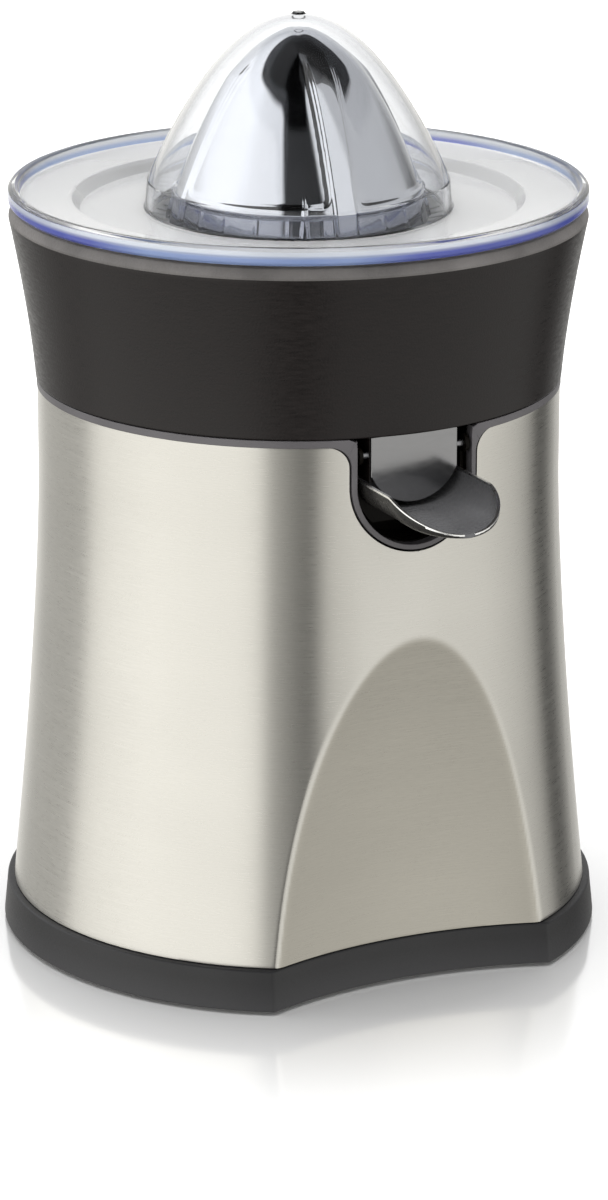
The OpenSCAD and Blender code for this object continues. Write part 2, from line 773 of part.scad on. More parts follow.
module juice_collector() {
    zs = steps(bowl_z0, bowl_lip_z, 14);
    lip_r = bowl_radius(bowl_lip_z);
    color("black") difference() {
        union() {
            rotate_extrude($fn = 160) polygon(concat(
                [for (z = zs) [bowl_radius(z), z]],
                [[lip_r - 0.3, bowl_z1 - 1.2], [lip_r - 1.3, bowl_z1],
                    [77.9, bowl_z1], [77.9, 204.6], [76.9, 203.6], [73.4, 203.6], [73.4, 201.4]],
                [for (z = steps(200, bowl_floor_z + 4, 8)) [bowl_radius(z) - bowl_wall, z]],
                [[67.5, bowl_floor_z], [chimney_r, bowl_floor_z], [chimney_r, 196], [9.2, 196],
                    [9.2, bowl_z0]]));
            difference() {
                tube(67.4, 69.7, 156, bowl_z0 + 1, $fn = 160);
                translate([-duct_gap, -far, 0]) cube([2 * duct_gap, far, far]);
            }
            translate([-13.2, -70.2, duct_z0]) cube([26.4, 8.4, bowl_z0 + 1 - duct_z0]);
        }
        translate([-11.6, -69.6, 140]) cube([23.2, 6.2, 40]);
        for (s = [-1, 1]) translate([s * 13.2 - 2, -pivot_y, pivot_z]) rotate([0, 90, 0])
            cylinder(r = pin_r, h = 4, $fn = 32);
    }
}

module collector_seal() {
    color("gray") difference() {
        tube(67.9, 69.2, 154.6, 156, $fn = 160);
        translate([-duct_gap, -far, 0]) cube([2 * duct_gap, far, far]);
    }
}

// Outline of the steel outlet plate in front view
module tongue_2d(half) {
    intersection() {
        translate([0, tongue_zc]) circle(r = 14.2, $fn = 96);
        translate([-half, 130]) square([2 * half, 26]);
    }
    translate([-half, tongue_zc]) square([2 * half, 5.2]);
}

module outlet_tongue() {
    color("silver") slab_y(-71.1, -70.2) tongue_2d(13);
}

module spout_pins() {
    color("silver") for (s = [-1, 1]) translate([s > 0 ? 11.6 : -16.6, -pivot_y, pivot_z])
        rotate([0, 90, 0]) cylinder(r = pin_r, h = 5, $fn = 32);
}

// One cross section of the scoop, from rim to rim, pushed in by inset. Up to the nose it lies at
// the distance y; round the nose it lies at the angle turn.
function scoop_row(y, turn, inset, count) =
    let (nose = scoop_tip - scoop_nose,
        yo = y + nose * sin(turn), yi = y + (nose - (turn > 0 ? inset : 0)) * sin(turn),
        w = (scoop_hw - inset) * cos(turn), zr = scoop_rim_z(yo),
        lift = pow(max(0, (yo - 90) / (scoop_tip - 90)), 3) * (scoop_rim - scoop_drop - scoop_floor - 1),
        zf = scoop_floor + inset + lift)
    [for (k = [0 : count]) let (a = 180 - 180 * k / count, c = cos(a), s = sin(a))
        [w * sign(c) * pow(abs(c), 0.75), -yi, zr - (zr - zf) * pow(s, 0.75)]];

module spout_scoop() {
    count = 14;
    wall = 0.8;
    rear = 60;
    places = concat([for (y = [rear, 67, 74, 81]) [y, 0]], [for (i = [0 : 8]) [scoop_nose, 10 * i]]);
    outer = [for (p = places) each scoop_row(p[0], p[1], 0, count)];
    inner = [for (p = places) each scoop_row(p[0], p[1], wall, count)];
    n = count + 1;
    rows = len(places);
    base = rows * n;
    shell = [for (i = [0 : rows - 2], k = [0 : count - 1])
        each [[i * n + k, (i + 1) * n + k + 1, i * n + k + 1], [i * n + k, (i + 1) * n + k,
            (i + 1) * n + k + 1]]];
    lining = [for (f = shell) [f[0] + base, f[2] + base, f[1] + base]];
    rims = [for (i = [0 : rows - 2]) each [
        [i * n, base + (i + 1) * n, (i + 1) * n], [i * n, base + i * n, base + (i + 1) * n],
        [i * n + count, base + (i + 1) * n + count, base + i * n + count],
        [i * n + count, (i + 1) * n + count, base + (i + 1) * n + count]]];
    last = (rows - 1) * n;
    ends = [for (k = [0 : count - 1]) each [
        [k, base + k + 1, base + k], [k, k + 1, base + k + 1],
        [last + k, base + last + k + 1, last + k + 1], [last + k, base + last + k, base + last + k + 1]]];
    color("silver") {
        polyhedron(concat(outer, inner), concat(shell, lining, rims, ends), convexity = 6);
        slab_y(-rear - wall, -rear) polygon([for (p = scoop_row(rear, 0, 0, count)) [p[0], p[2]]]);
    }
}

module spout_carrier() {
    color("black") difference() {
        union() {
            difference() {
                slab_y(-68, -61.5) intersection() {
                    translate([0, 147.4]) circle(r = 16.2, $fn = 96);
                    translate([-20, 135.6]) square([40, 12]);
                }
                slab_y(-80, -55) polygon([for (p = scoop_row(66, 0, -0.05, 28)) [p[0], p[2]]]);
            }
            for (s = [-1, 1]) {
                slab_x(s > 0 ? 15.46 : -16.5, s > 0 ? 16.5 : -15.46) {
                    translate([-pivot_y, pivot_z]) circle(r = 2.5, $fn = 48);
                    translate([-68, 143.4]) square([4, pivot_z - 143.4]);
                }
            }
        }
        translate([-20, -pivot_y, pivot_z]) rotate([0, 90, 0]) cylinder(r = pin_r + 0.06, h = 40, $fn = 32);
    }
}

// ---- Sieve, cone and cover ----

module pulp_sieve() {
    color("silver") difference() {
        rotate_extrude($fn = 120) polygon([
            [12, 195], [13.2, 195], [13.2, sieve_z], [62, sieve_z], [68, 203.8], [76.7, 203.8],
            [76.7, 204.8], [67.4, 204.8], [61.5, sieve_z + sieve_t], [13.2, sieve_z + sieve_t],
            [13.2, 203], [12, 203]]);
        for (a = [0 : 10 : 350]) rotate(a) {
            translate([19, -0.6, 190]) cube([14, 1.2, 20]);
            translate([36, -0.6, 190]) cube([21, 1.2, 20]);
        }
        for (a = [5 : 10 : 355]) rotate(a) translate([40, -0.6, 190]) cube([18, 1.2, 20]);
    }
}

// Profile of the cone's inside, wall thick
function cone_inside(wall) = [for (z = steps(cone_z0, cone_top - wall - 1, 22))
    [max(0.1, cone_radius(z) - wall), z]];

// Solid between the cone's face, sunk by a little, and a skin that stands rib_h above it
module rib_skin() {
    difference() {
        rotate_extrude($fn = 96) polygon(concat([[0, band_z1]],
            [for (z = steps(band_z1, 250, 10)) [cone_radius(z) + rib_h * min(1, (250 - z) / 6), z]],
            [[0, 250]]));
        rotate_extrude($fn = 96) polygon(concat([[0, 200]],
            [for (z = steps(205, 256, 16)) [cone_radius(z) - 0.4, z]], [[0, 256]]));
    }
}

module press_cone() {
    wall = 1.8;
    inside = cone_inside(wall);
    zs = concat([cone_z0, band_z1], steps(214.5, 251, 12), steps(252.5, cone_top, 5));
    color("silver") union() {
        rotate_extrude($fn = 120) polygon(concat(
            [for (z = zs) [cone_radius(z), z]], [[0, cone_top], [0, cone_top - wall - 1]],
            [for (i = [len(inside) - 1 : -1 : 0]) inside[i]]));
        intersection() {
            rib_skin();
            for (i = [0 : cone_ribs - 1]) rotate(rib_turn + 360 * i / cone_ribs)
                translate([-rib_w / 2, -60, 200]) cube([rib_w, 60, 60]);
        }
    }
}

module cone_hub() {
    color("black") difference() {
        union() {
            translate([0, 0, 196.2]) cylinder(r = 8, h = 41.8);
            translate([0, 0, 196.2]) cylinder(r = 6.2, h = 52.3);
            intersection() {
                for (a = [0 : 90 : 270]) rotate(a) translate([0, -1, 207]) cube([40, 2, 30]);
                rotate_extrude($fn = 96) polygon(concat([[0, cone_z0]],
                    [for (z = steps(cone_z0, 250, 20)) [cone_radius(z) - 1.95, z]], [[0, 250]]));
            }
        }
        cylinder(r = hex_r + 0.15, h = shaft_z1 + 0.2, $fn = 6);
    }
}

// Radius of the dome at height z, for a paraboloid with its top at z_top
function dome_radius(k, z_top, z) = k * sqrt(max(0, z_top - z));

module dust_cover() {
    inner_top = dome_top - 1.6;
    dome_out = [for (z = concat(steps(217.6, 255, 11), steps(256.5, dome_top, 5)))
        [dome_radius(6.2, dome_top, z), z]];
    dome_in = [for (z = concat(steps(217.6, 253, 11), steps(254.5, inner_top, 5)))
        [dome_radius(6.02, inner_top, z), z]];
    color("lightblue", 0.4) {
        rotate_extrude($fn = 160) polygon(concat(
            [[0, dome_top]], [for (i = [len(dome_out) - 2 : -1 : 0]) dome_out[i]],
            [[42.7, 207.6], [60.5, 207.6], [63, 211], [77.4, 211.6], [77.8, 214.2], [78.6, 214.6],
                [cover_r - 0.8, 214.6], [cover_r, 213.8], [cover_r, 210.6], [cover_r - 0.8, 209.7],
                [77.3, 209.7], [77.2, 206.8], [75.8, 206.8], [75.6, 209.8], [64, 209.4],
                [61.4, 206], [40.9, 206]],
            dome_in));
        translate([0, 0, dome_top - 0.4]) cylinder(r = 1.6, h = 0.9, $fn = 32);
    }
}

base_skirt();
bottom_plate();
rubber_feet();
base_screws();
cord_gland();
terminal_block();
steel_shell();
spout_trim();
deck();
deck_screws();
lower_posts();
upper_posts();
gear_deck();
gearbox_cover();
gearbox_screws();
shaft_bush_upper();
shaft_bush_lower();
shaft_seal();
idler_pin();
idler_gear();
return_spring();
thrust_cup();
drive_shaft();
output_gear();
shaft_clip();
motor_stator();
motor_coil();
motor_bracket_top();
motor_bracket_bottom();
motor_bearings();
motor_spacers();
motor_screws();
rotor_core();
rotor_shaft();
motor_pinion();
cooling_fan();
switch_body();
switch_screws();
switch_lever();
internal_leads();
juice_collector();
collector_seal();
outlet_tongue();
spout_pins();
spout_carrier();
spout_scoop();
pulp_sieve();
cone_hub();
press_cone();
dust_cover();
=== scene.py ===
"""Looks of an electric citrus press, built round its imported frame. Lengths in the tables are millimetres."""
import json
import math

import bmesh
import bpy
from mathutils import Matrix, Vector


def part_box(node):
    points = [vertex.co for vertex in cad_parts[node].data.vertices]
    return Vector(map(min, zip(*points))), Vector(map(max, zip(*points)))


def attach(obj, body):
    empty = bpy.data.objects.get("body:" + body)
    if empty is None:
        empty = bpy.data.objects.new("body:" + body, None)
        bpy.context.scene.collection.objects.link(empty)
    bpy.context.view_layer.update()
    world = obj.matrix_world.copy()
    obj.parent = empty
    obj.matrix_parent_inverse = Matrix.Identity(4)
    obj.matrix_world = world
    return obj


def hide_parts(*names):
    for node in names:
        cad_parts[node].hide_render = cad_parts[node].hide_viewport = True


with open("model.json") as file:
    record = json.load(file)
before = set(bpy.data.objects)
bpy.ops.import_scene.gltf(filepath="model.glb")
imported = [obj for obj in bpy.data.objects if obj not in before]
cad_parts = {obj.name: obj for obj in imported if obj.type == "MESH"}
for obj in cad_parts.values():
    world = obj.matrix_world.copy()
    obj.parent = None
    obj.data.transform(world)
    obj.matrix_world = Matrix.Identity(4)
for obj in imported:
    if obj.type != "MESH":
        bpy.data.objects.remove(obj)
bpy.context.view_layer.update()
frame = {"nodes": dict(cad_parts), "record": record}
scene = bpy.context.scene
MM = 0.001

# ---- Driving sizes, in millimetres -------------------------------------------------------------

BASE_R, BASE_TAPER = 84.9, 1.2
NOTCH_R, NOTCH_Y = 121.2, 186.7
BODY_R, FLARE_OUT, FLARE_TOP, FLARE_FOOT = 73.2, 8.3, 135.0, 16.0
SHEET = 0.8
ARCH_FOOT, ARCH_LEAN, ARCH_TOP, ARCH_Z0, ARCH_AXIS = 64.1, 10.3, 103.0, 20.0, 186.0
SPOUT_HALF, SPOUT_ZC, SPOUT_FLARE, TRIM_HALF = 19.3, 146.8, 6.0, 17.25
BOWL_WALL, BOWL_FLARE = 2.6, 7.9
CONE_WAIST, CONE_FOOT, BAND_TOP, CONE_PEAK = 34.2, 36.1, 213.3, 258.5
RIB_HALF, RIB_RISE, RIB_TURN, RIBS = 3.0, 1.1, -4.5, 4
DOME_K, DOME_K_INSIDE, DOME_WALL = 6.2, 6.02, 1.6


def span(node):
    """Lowest and highest corner of a CAD node, in millimetres."""
    low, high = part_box(node)
    return [v / MM for v in low], [v / MM for v in high]


BASE_TOP = 12.6
STEEL_Z0, STEEL_Z1 = span("steel_shell")[0][2], span("steel_shell")[1][2]
BOWL_Z1 = span("juice_collector")[1][2]
CONE_Z0, CONE_TOP = span("press_cone")[0][2], span("press_cone")[1][2]
DOME_TOP = span("dust_cover")[1][2] - 0.5
TONGUE_LOW, TONGUE_HIGH = span("outlet_tongue")


def steps(a, b, n):
    return [a + (b - a) * i / n for i in range(n + 1)]


def smoothstep(x):
    x = min(1.0, max(0.0, x))
    return x * x * (3 - 2 * x)


# ---- Mesh helpers -------------------------------------------------------------------------------

def face_out(mesh):
    """Turns every face outwards and shades it smooth."""
    work = bmesh.new()
    work.from_mesh(mesh)
    bmesh.ops.recalc_face_normals(work, faces=work.faces)
    work.to_mesh(mesh)
    work.free()
    mesh.shade_smooth()


def finish_mesh(name, verts, faces, bevel=0.0, angle=50.0):
    """A smooth-shaded mesh object from millimetre points, with small bevels on its sharp edges."""
    mesh = bpy.data.meshes.new(name)
    mesh.from_pydata([(x * MM, y * MM, z * MM) for x, y, z in verts], [], faces)
    mesh.validate()
    face_out(mesh)
    obj = bpy.data.objects.new(name, mesh)
    scene.collection.objects.link(obj)
    if bevel:
        soften(obj, bevel, angle)
    return obj


def soften(obj, width, angle=50.0, segments=2):
    """Bevels the sharp edges and keeps the large faces shading flat."""
    mod = obj.modifiers.new("bevel", "BEVEL")
    mod.width = width * MM
    mod.segments = segments
    mod.limit_method = "ANGLE"
    mod.angle_limit = math.radians(angle)
    mod.harden_normals = False
    even = obj.modifiers.new("even", "WEIGHTED_NORMAL")
    even.keep_sharp = True


def apply_modifiers(obj):
    """Replaces the mesh by what its modifiers make of it."""
    graph = bpy.context.evaluated_depsgraph_get()
    mesh = bpy.data.meshes.new_from_object(obj.evaluated_get(graph))
    obj.modifiers.clear()
    obj.data = mesh
    return obj


def grid_faces(rows, cols, wrap_rows=False, wrap_cols=False):
    """Quads between neighbouring rows and columns of a point grid."""
    out = []
    for i in range(rows if wrap_rows else rows - 1):
        for k in range(cols if wrap_cols else cols - 1):
            a, b = i * cols, ((i + 1) % rows) * cols
            n = (k + 1) % cols
            out.append((a + k, a + n, b + n, b + k))
    return out


def fillet(points, segments=5):
    """Points (x, z, radius) of a closed outline, with each corner rounded by an arc."""
    out = []
    count = len(points)
    for i, (x, z, radius) in enumerate(points):
        if not radius:
            out.append((x, z))
            continue
        here = Vector((x, z))
        back = Vector(points[i - 1][:2]) - here
        ahead = Vector(points[(i + 1) % count][:2]) - here
        turn = back.angle(ahead)
        reach = min(radius / math.tan(turn / 2), back.length * 0.49, ahead.length * 0.49)
        radius = reach * math.tan(turn / 2)
        middle = here + (back.normalized() + ahead.normalized()).normalized() * radius / math.sin(turn / 2)
        start = here + back.normalized() * reach - middle
        end = here + ahead.normalized() * reach - middle
        for k in range(segments + 1):
            p = start.lerp(end, k / segments)
            p = middle + p.normalized() * radius
            out.append((p.x, p.y))
    return out


def lathe(name, outline, segments=180, arc=None, **kw):
    """Turns a closed outline of (radius, z) round the Z axis, or through arc = (from, to) in degrees."""
    first, last = arc or (0, 360)
    count = segments if not arc else segments + 1
    verts = []
    for i in range(count):
        a = math.radians(first + (last - first) * i / segments)
        verts += [(r * math.cos(a), r * math.sin(a), z) for r, z in outline]
    faces = grid_faces(count, len(outline), wrap_rows=not arc, wrap_cols=True)
    if arc:
        n = len(outline)
        faces += [tuple(reversed(range(n))), tuple(range((count - 1) * n, count * n))]
    return finish_mesh(name, verts, faces, **kw)


def dish(name, outline, segments=180, **kw):
    """Turns an open line of (radius, z), whose two ends are on the Z axis, into a closed solid."""
    ring = outline[1:-1]
    verts = []
    for i in range(segments):
        a = math.tau * i / segments
        verts += [(r * math.cos(a), r * math.sin(a), z) for r, z in ring]
    faces = grid_faces(segments, len(ring), wrap_rows=True)
    n = len(ring)
    first = len(verts)
    verts += [(0, 0, outline[0][1]), (0, 0, outline[-1][1])]
    for i in range(segments):
        a, b = i * n, (i + 1) % segments * n
        faces += [(first, a, b), (first + 1, b + n - 1, a + n - 1)]
    return finish_mesh(name, verts, faces, **kw)


def box_mesh(name, low, high, **kw):
    """A block between two corners."""
    verts = [(x, y, z) for x in (low[0], high[0]) for y in (low[1], high[1]) for z in (low[2], high[2])]
    faces = [(0, 1, 3, 2), (4, 6, 7, 5), (0, 4, 5, 1), (2, 3, 7, 6), (0, 2, 6, 4), (1, 5, 7, 3)]
    return finish_mesh(name, verts, faces, **kw)


def cut(obj, *tools):
    """Takes the tools away from obj, exactly, and removes them."""
    for tool in tools:
        mod = obj.modifiers.new("cut", "BOOLEAN")
        mod.operation = "DIFFERENCE"
        mod.solver = "EXACT"
        mod.object = tool
        apply_modifiers(obj)
        bpy.data.objects.remove(tool)
    return obj


def join(name, *objs):
    """Joins mesh objects into one."""
    verts, faces = [], []
    for o in objs:
        first = len(verts)
        verts += [tuple(v.co) for v in o.data.vertices]
        faces += [tuple(first + i for i in p.vertices) for p in o.data.polygons]
        bpy.data.objects.remove(o)
    mesh = bpy.data.meshes.new(name)
    mesh.from_pydata(verts, [], faces)
    face_out(mesh)
    obj = bpy.data.objects.new(name, mesh)
    scene.collection.objects.link(obj)
    return obj


def place(obj, body, slot, *nodes, more=(), pick=None):
    """Gives a new piece its body and its finish, and hides the nodes it stands for. pick(x, y, z) chooses from
    more.
    """
    obj.data.materials.clear()
    for material in (slot, *more):
        obj.data.materials.append(MATERIALS[material])
    if pick:
        for face in obj.data.polygons:
            face.material_index = pick(face.center / MM, face.normal)
    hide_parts(*nodes)
    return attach(obj, body)


# ---- Materials ----------------------------------------------------------------------------------

def node(tree, kind, inputs=None, **attrs):
    """Adds a shader node. An input is a value or a socket to link from."""
    made = tree.nodes.new("ShaderNode" + kind)
    for key, value in attrs.items():
        setattr(made, key, value)
    for key, value in (inputs or {}).items():
        if isinstance(value, bpy.types.NodeSocket):
            tree.links.new(value, made.inputs[key])
        else:
            made.inputs[key].default_value = value
    return made


def start_material(name, **values):
    """A material with one Principled shader set to these values. Returns it, its tree and the shader."""
    material = bpy.data.materials.new(name)
    material.use_nodes = True
    tree = material.node_tree
    shader = tree.nodes["Principled BSDF"]
    for key, value in values.items():
        shader.inputs[key.replace("_", " ")].default_value = value
    return material, tree, shader


def coords(tree, scale):
    """Object coordinates in metres, stretched."""
    where = node(tree, "TexCoord")
    return node(tree, "Mapping", {"Vector": where.outputs["Object"], "Scale": scale}).outputs["Vector"]


def noise(tree, scale, detail=3.0, roughness=0.5):
    """Noise whose grain is 1/scale metres along each axis."""
    made = node(tree, "TexNoise", {"Vector": coords(tree, scale), "Scale": 1.0, "Detail": detail,
                                   "Roughness": roughness})
    return made.outputs["Fac"]


def spread(tree, fac, low, high):
    """Maps the middle half of a noise to low..high."""
    return node(tree, "MapRange", {"Value": fac, "From Min": 0.3, "From Max": 0.7, "To Min": low,
                                   "To Max": high}).outputs["Result"]


def two_tone(tree, fac, dark, light):
    """A colour between dark and light."""
    made = node(tree, "Mix", {"Factor": fac, "A": (*dark, 1), "B": (*light, 1)}, data_type="RGBA")
    return made.outputs["Result"]


def tint(colour, k):
    return [min(1.0, c * k) for c in colour]


def bump(tree, shader, height, distance, strength=1.0):
    made = node(tree, "Bump", {"Height": height, "Distance": distance, "Strength": strength})
    tree.links.new(made.outputs["Normal"], shader.inputs["Normal"])


def plastic(name, colour, roughness=0.45, grain=2500, depth=0.00001, vary=0.12, ior=1.5, painted_floor_bounce=1.0):
    """Moulded plastic or rubber with a fine grain and faint clouds, and a foot painted paler in place of light
    bounced up from the floor.
    """
    material, tree, shader = start_material(name, IOR=ior)
    cloud = spread(tree, noise(tree, (60, 60, 60)), 0, 1)
    shade = two_tone(tree, cloud, tint(colour, 1 - vary), tint(colour, 1 + vary))
    # Painted light: the foot is painted paler, as if lit by light bounced up from the floor.
    if painted_floor_bounce > 1:
        height = node(tree, "SeparateXYZ", {0: coords(tree, (1, 1, 1))}).outputs["Z"]
        foot = node(tree, "MapRange", {"Value": height, "From Min": 0.001, "From Max": 0.009, "To Min": 1.0,
                                       "To Max": 0.0}).outputs["Result"]
        pale = node(tree, "Mix", {"Factor": foot, "A": shade, "B": (*tint(colour, painted_floor_bounce), 1)},
                    data_type="RGBA")
        shade = pale.outputs["Result"]
    tree.links.new(shade, shader.inputs["Base Color"])
    fine = noise(tree, (grain, grain, grain), 2.0)
    tree.links.new(spread(tree, fine, roughness - 0.06, roughness + 0.06), shader.inputs["Roughness"])
    bump(tree, shader, fine, depth)
    return material


def metal(name, colour, roughness=0.3, scale=(900, 900, 900), depth=0.000004, vary=0.06, rough_vary=0.06,
          anisotropic=0.0, turn=0.0):
    """Metal with a grain of the given scale, such as long scratches along one axis."""
    material, tree, shader = start_material(name, Metallic=1.0, Anisotropic=anisotropic,
                                            Anisotropic_Rotation=turn)
    grain = noise(tree, scale, 4.0, 0.6)
    tree.links.new(two_tone(tree, spread(tree, grain, 0, 1), tint(colour, 1 - vary), tint(colour, 1 + vary)),
                   shader.inputs["Base Color"])
    tree.links.new(spread(tree, grain, roughness - rough_vary, roughness + rough_vary),
                   shader.inputs["Roughness"])
    bump(tree, shader, grain, depth)
    if anisotropic:
        tangent = node(tree, "Tangent", direction_type="RADIAL", axis="Z")
        tree.links.new(tangent.outputs["Tangent"], shader.inputs["Tangent"])
    return material


# Painted shade: the arched recess gets this darker steel colour in place of the shade that falls there.
RECESS_SHADE_COLOUR = (0.455, 0.435, 0.385)
RIM_TURN = math.radians(126)
RIM_BLUE_Z0, RIM_BLUE_Z1 = 0.2116, 0.2128


def brushed_sheet():
    """Sheet brushed round the body: long fine streaks, short bright nicks and slow clouds, with painted shade
    darkening the arched recess.
    """
    colour = (0.66, 0.645, 0.60)
    material, tree, shader = start_material("steel_sheet", Metallic=1.0, Anisotropic=0.88,
                                            Anisotropic_Rotation=0.25)
    long_streak = noise(tree, (45, 45, 3800), 3.0, 0.65)
    short_streak = noise(tree, (330, 330, 5200), 2.0, 0.5)
    cloud = noise(tree, (14, 14, 30), 2.0)
    mixed = node(tree, "Math", {0: long_streak, 1: short_streak}, operation="ADD").outputs[0]
    mixed = node(tree, "Math", {0: mixed, 1: 0.5}, operation="MULTIPLY").outputs[0]
    shade = node(tree, "Math", {0: spread(tree, mixed, 0.0, 0.8), 1: spread(tree, cloud, 0.0, 0.2)},
                 operation="ADD").outputs[0]
    bright = two_tone(tree, shade, tint(colour, 0.86), tint(colour, 1.1))
    # Painted shade in the arched recess, weighted by the recess attribute.
    painted_recess_shade = two_tone(tree, shade, tint(RECESS_SHADE_COLOUR, 0.84), tint(RECESS_SHADE_COLOUR, 1.12))
    recess = node(tree, "Attribute", attribute_name="recess").outputs["Fac"]
    both = node(tree, "Mix", {"Factor": recess, "A": bright, "B": painted_recess_shade}, data_type="RGBA")
    tree.links.new(both.outputs["Result"], shader.inputs["Base Color"])
    tree.links.new(spread(tree, mixed, 0.24, 0.38), shader.inputs["Roughness"])
    bump(tree, shader, mixed, 0.0000035)
    tangent = node(tree, "Tangent", direction_type="RADIAL", axis="Z")
    tree.links.new(tangent.outputs["Tangent"], shader.inputs["Tangent"])
    return material


def collar():
    """Near-black satin plastic with a fine horizontal grain and a leather-like texture."""
    material, tree, shader = start_material("collar_plastic", IOR=1.37)
    streak = noise(tree, (260, 260, 1500), 3.0, 0.6)
    leather = node(tree, "TexVoronoi", {"Vector": coords(tree, (1500, 1500, 1500)), "Scale": 1.0})
    cell = leather.outputs["Distance"]
    shade = two_tone(tree, spread(tree, streak, 0, 1), (0.0065, 0.0046, 0.0044), (0.0125, 0.0092, 0.0088))
    tree.links.new(shade, shader.inputs["Base Color"])
    tree.links.new(spread(tree, streak, 0.26, 0.4), shader.inputs["Roughness"])
    height = node(tree, "Math", {0: cell, 1: streak}, operation="ADD").outputs[0]
    bump(tree, shader, height, 0.00002)
    return material


def glowing_edge():
    """The lid's rim, whose edge gathers light: a violet-blue edge tint in three broad lobes, with a painted
    glow between them and a painted highlight along its upper part.
    """
    material, tree, shader = start_material("rim_tint_and_painted_glow", Roughness=0.12, IOR=1.46, Transmission_Weight=0.45)
    part = node(tree, "SeparateXYZ", {0: coords(tree, (1, 1, 1))})
    around = node(tree, "Math", {0: part.outputs["Y"], 1: part.outputs["X"]}, operation="ARCTAN2")
    turned = node(tree, "Math", {0: around.outputs[0], 1: RIM_TURN}, operation="ADD")
    lobes = node(tree, "Math", {0: turned.outputs[0], 1: 3.0}, operation="MULTIPLY")
    wave = node(tree, "Math", {0: lobes.outputs[0]}, operation="COSINE")
    # The pale lobes are a painted glow, where the edge gathers light.
    pale = node(tree, "MapRange", {"Value": wave.outputs[0], "From Min": -0.2, "From Max": 0.5, "To Min": 0.0,
                                   "To Max": 1.0}).outputs["Result"]
    lobed = two_tone(tree, pale, (0.10, 0.13, 0.58), (0.30, 0.42, 0.78))
    # Above the blue band the rim is painted a pale highlight.
    upper = node(tree, "MapRange", {"Value": part.outputs["Z"], "From Min": RIM_BLUE_Z0,
                                    "From Max": RIM_BLUE_Z1, "To Min": 0.0,
                                    "To Max": 1.0}).outputs["Result"]
    edge = node(tree, "Mix", {"Factor": upper, "A": lobed, "B": (0.70, 0.75, 0.84, 1)}, data_type="RGBA")
    tree.links.new(edge.outputs["Result"], shader.inputs["Base Color"])
    bump(tree, shader, noise(tree, (90, 90, 400), 2.0), 0.00002)
    return material


def clear(name, colour, roughness=0.02, through=1.0):
    """Clear moulded plastic with the faintest waviness, or a milky one where less light goes through."""
    material, tree, shader = start_material(name, Roughness=roughness, IOR=1.46,
                                            Transmission_Weight=through)
    wave = noise(tree, (70, 70, 70), 2.0)
    tree.links.new(two_tone(tree, spread(tree, wave, 0, 1), tint(colour, 0.99), colour),
                   shader.inputs["Base Color"])
    bump(tree, shader, wave, 0.00002)
    return material


MATERIALS = {
    # The base's foot gets painted light, paler as if lit from the floor.
    "base_plastic": plastic("base_plastic", (0.012, 0.012, 0.0132), 0.5, 2200, 0.000012, painted_floor_bounce=2.2),
    "inner_plastic": plastic("inner_plastic", (0.005, 0.004, 0.003), 0.3, 1800, ior=1.15),
    "collar_plastic": collar(),
    "trim_plastic": plastic("trim_plastic", (0.112, 0.106, 0.113), 0.35, 3000, 0.000004),
    "steel_sheet": brushed_sheet(),
    "polished_steel": metal("polished_steel", (0.26, 0.26, 0.265), 0.16, (300, 300, 900), 0.0000015, 0.03,
                            0.03),
    "sieve_steel": metal("sieve_steel", (0.82, 0.82, 0.81), 0.42, (500, 500, 500), 0.000003),
    "cone_chrome": metal("cone_chrome", (0.68, 0.69, 0.71), 0.05, (120, 120, 120), 0.000001, 0.01, 0.012),
    "clear_plastic": clear("clear_plastic", (0.97, 0.98, 1.0)),
    "clear_plate": clear("clear_plate", (0.97, 0.975, 0.98), 0.2, 0.68),
    # The rim's edge: blue tint with a painted glow and a painted highlight.
    "rim_tint_and_painted_glow": glowing_edge(),
    "lip_plastic": plastic("lip_plastic", (0.13, 0.122, 0.118), 0.5, 1300, 0.00012, 0.3),
    # Painted shade: the cone's fluted lower band gets this darker chrome.
    "cone_band_shade": metal("cone_band_shade", (0.30, 0.31, 0.35), 0.06, (120, 120, 120), 0.000001, 0.02, 0.012),
    # Painted shade for the scoop's faces turned sideways and down.
    "scoop_outside_shade": plastic("scoop_outside_shade", (0.022, 0.021, 0.020), 0.3, 900, 0.000002, ior=1.3),
    # A painted highlight along the scoop's rim.
    "scoop_rim_highlight": metal("scoop_rim_highlight", (0.95, 0.95, 0.94), 0.3, (600, 600, 600)),
    "scoop_grey": plastic("scoop_grey", (0.11, 0.11, 0.114), 0.28, 900, 0.000002, 0.06),
    "rubber_black": plastic("rubber_black", (0.016, 0.016, 0.016), 0.7, 1200, 0.00002),
    "silicone": plastic("silicone", (0.40, 0.39, 0.38), 0.6, 900),
    "nylon": plastic("nylon", (0.78, 0.75, 0.66), 0.4, 1500),
    "glass_nylon": plastic("glass_nylon", (0.055, 0.055, 0.06), 0.5, 900, 0.00002, 0.2),
    "bearing_bronze": metal("bearing_bronze", (0.55, 0.36, 0.18), 0.35, (1500, 1500, 1500)),
    "zinc_steel": metal("zinc_steel", (0.60, 0.61, 0.63), 0.32, (1200, 1200, 1200)),
    "ground_steel": metal("ground_steel", (0.30, 0.30, 0.31), 0.35, (300, 300, 5000)),
    "lamination_steel": metal("lamination_steel", (0.20, 0.21, 0.23), 0.45, (40, 40, 2000), 0.00004, 0.25),
    "copper_winding": metal("copper_winding", (0.50, 0.20, 0.09), 0.3, (60, 60, 2200), 0.0001, 0.2),
    "die_cast": metal("die_cast", (0.62, 0.63, 0.64), 0.42, (900, 900, 900), 0.00001, 0.1),
    "post_alloy": metal("post_alloy", (0.58, 0.58, 0.59), 0.3, (250, 250, 3000)),
    "lead_pvc": plastic("lead_pvc", (0.05, 0.11, 0.42), 0.35, 800),
}

slot_of = {part["node"]: part["material_slot"] for part in frame["record"]["subparts"]}
for name, obj in frame["nodes"].items():
    obj.data.materials.clear()
    obj.data.materials.append(MATERIALS[slot_of[name]])
    weld = obj.modifiers.new("weld", "WELD")
    weld.merge_threshold = 0.002 * MM
    soften(obj, 0.2, 35)


# ---- Base ---------------------------------------------------------------------------------------

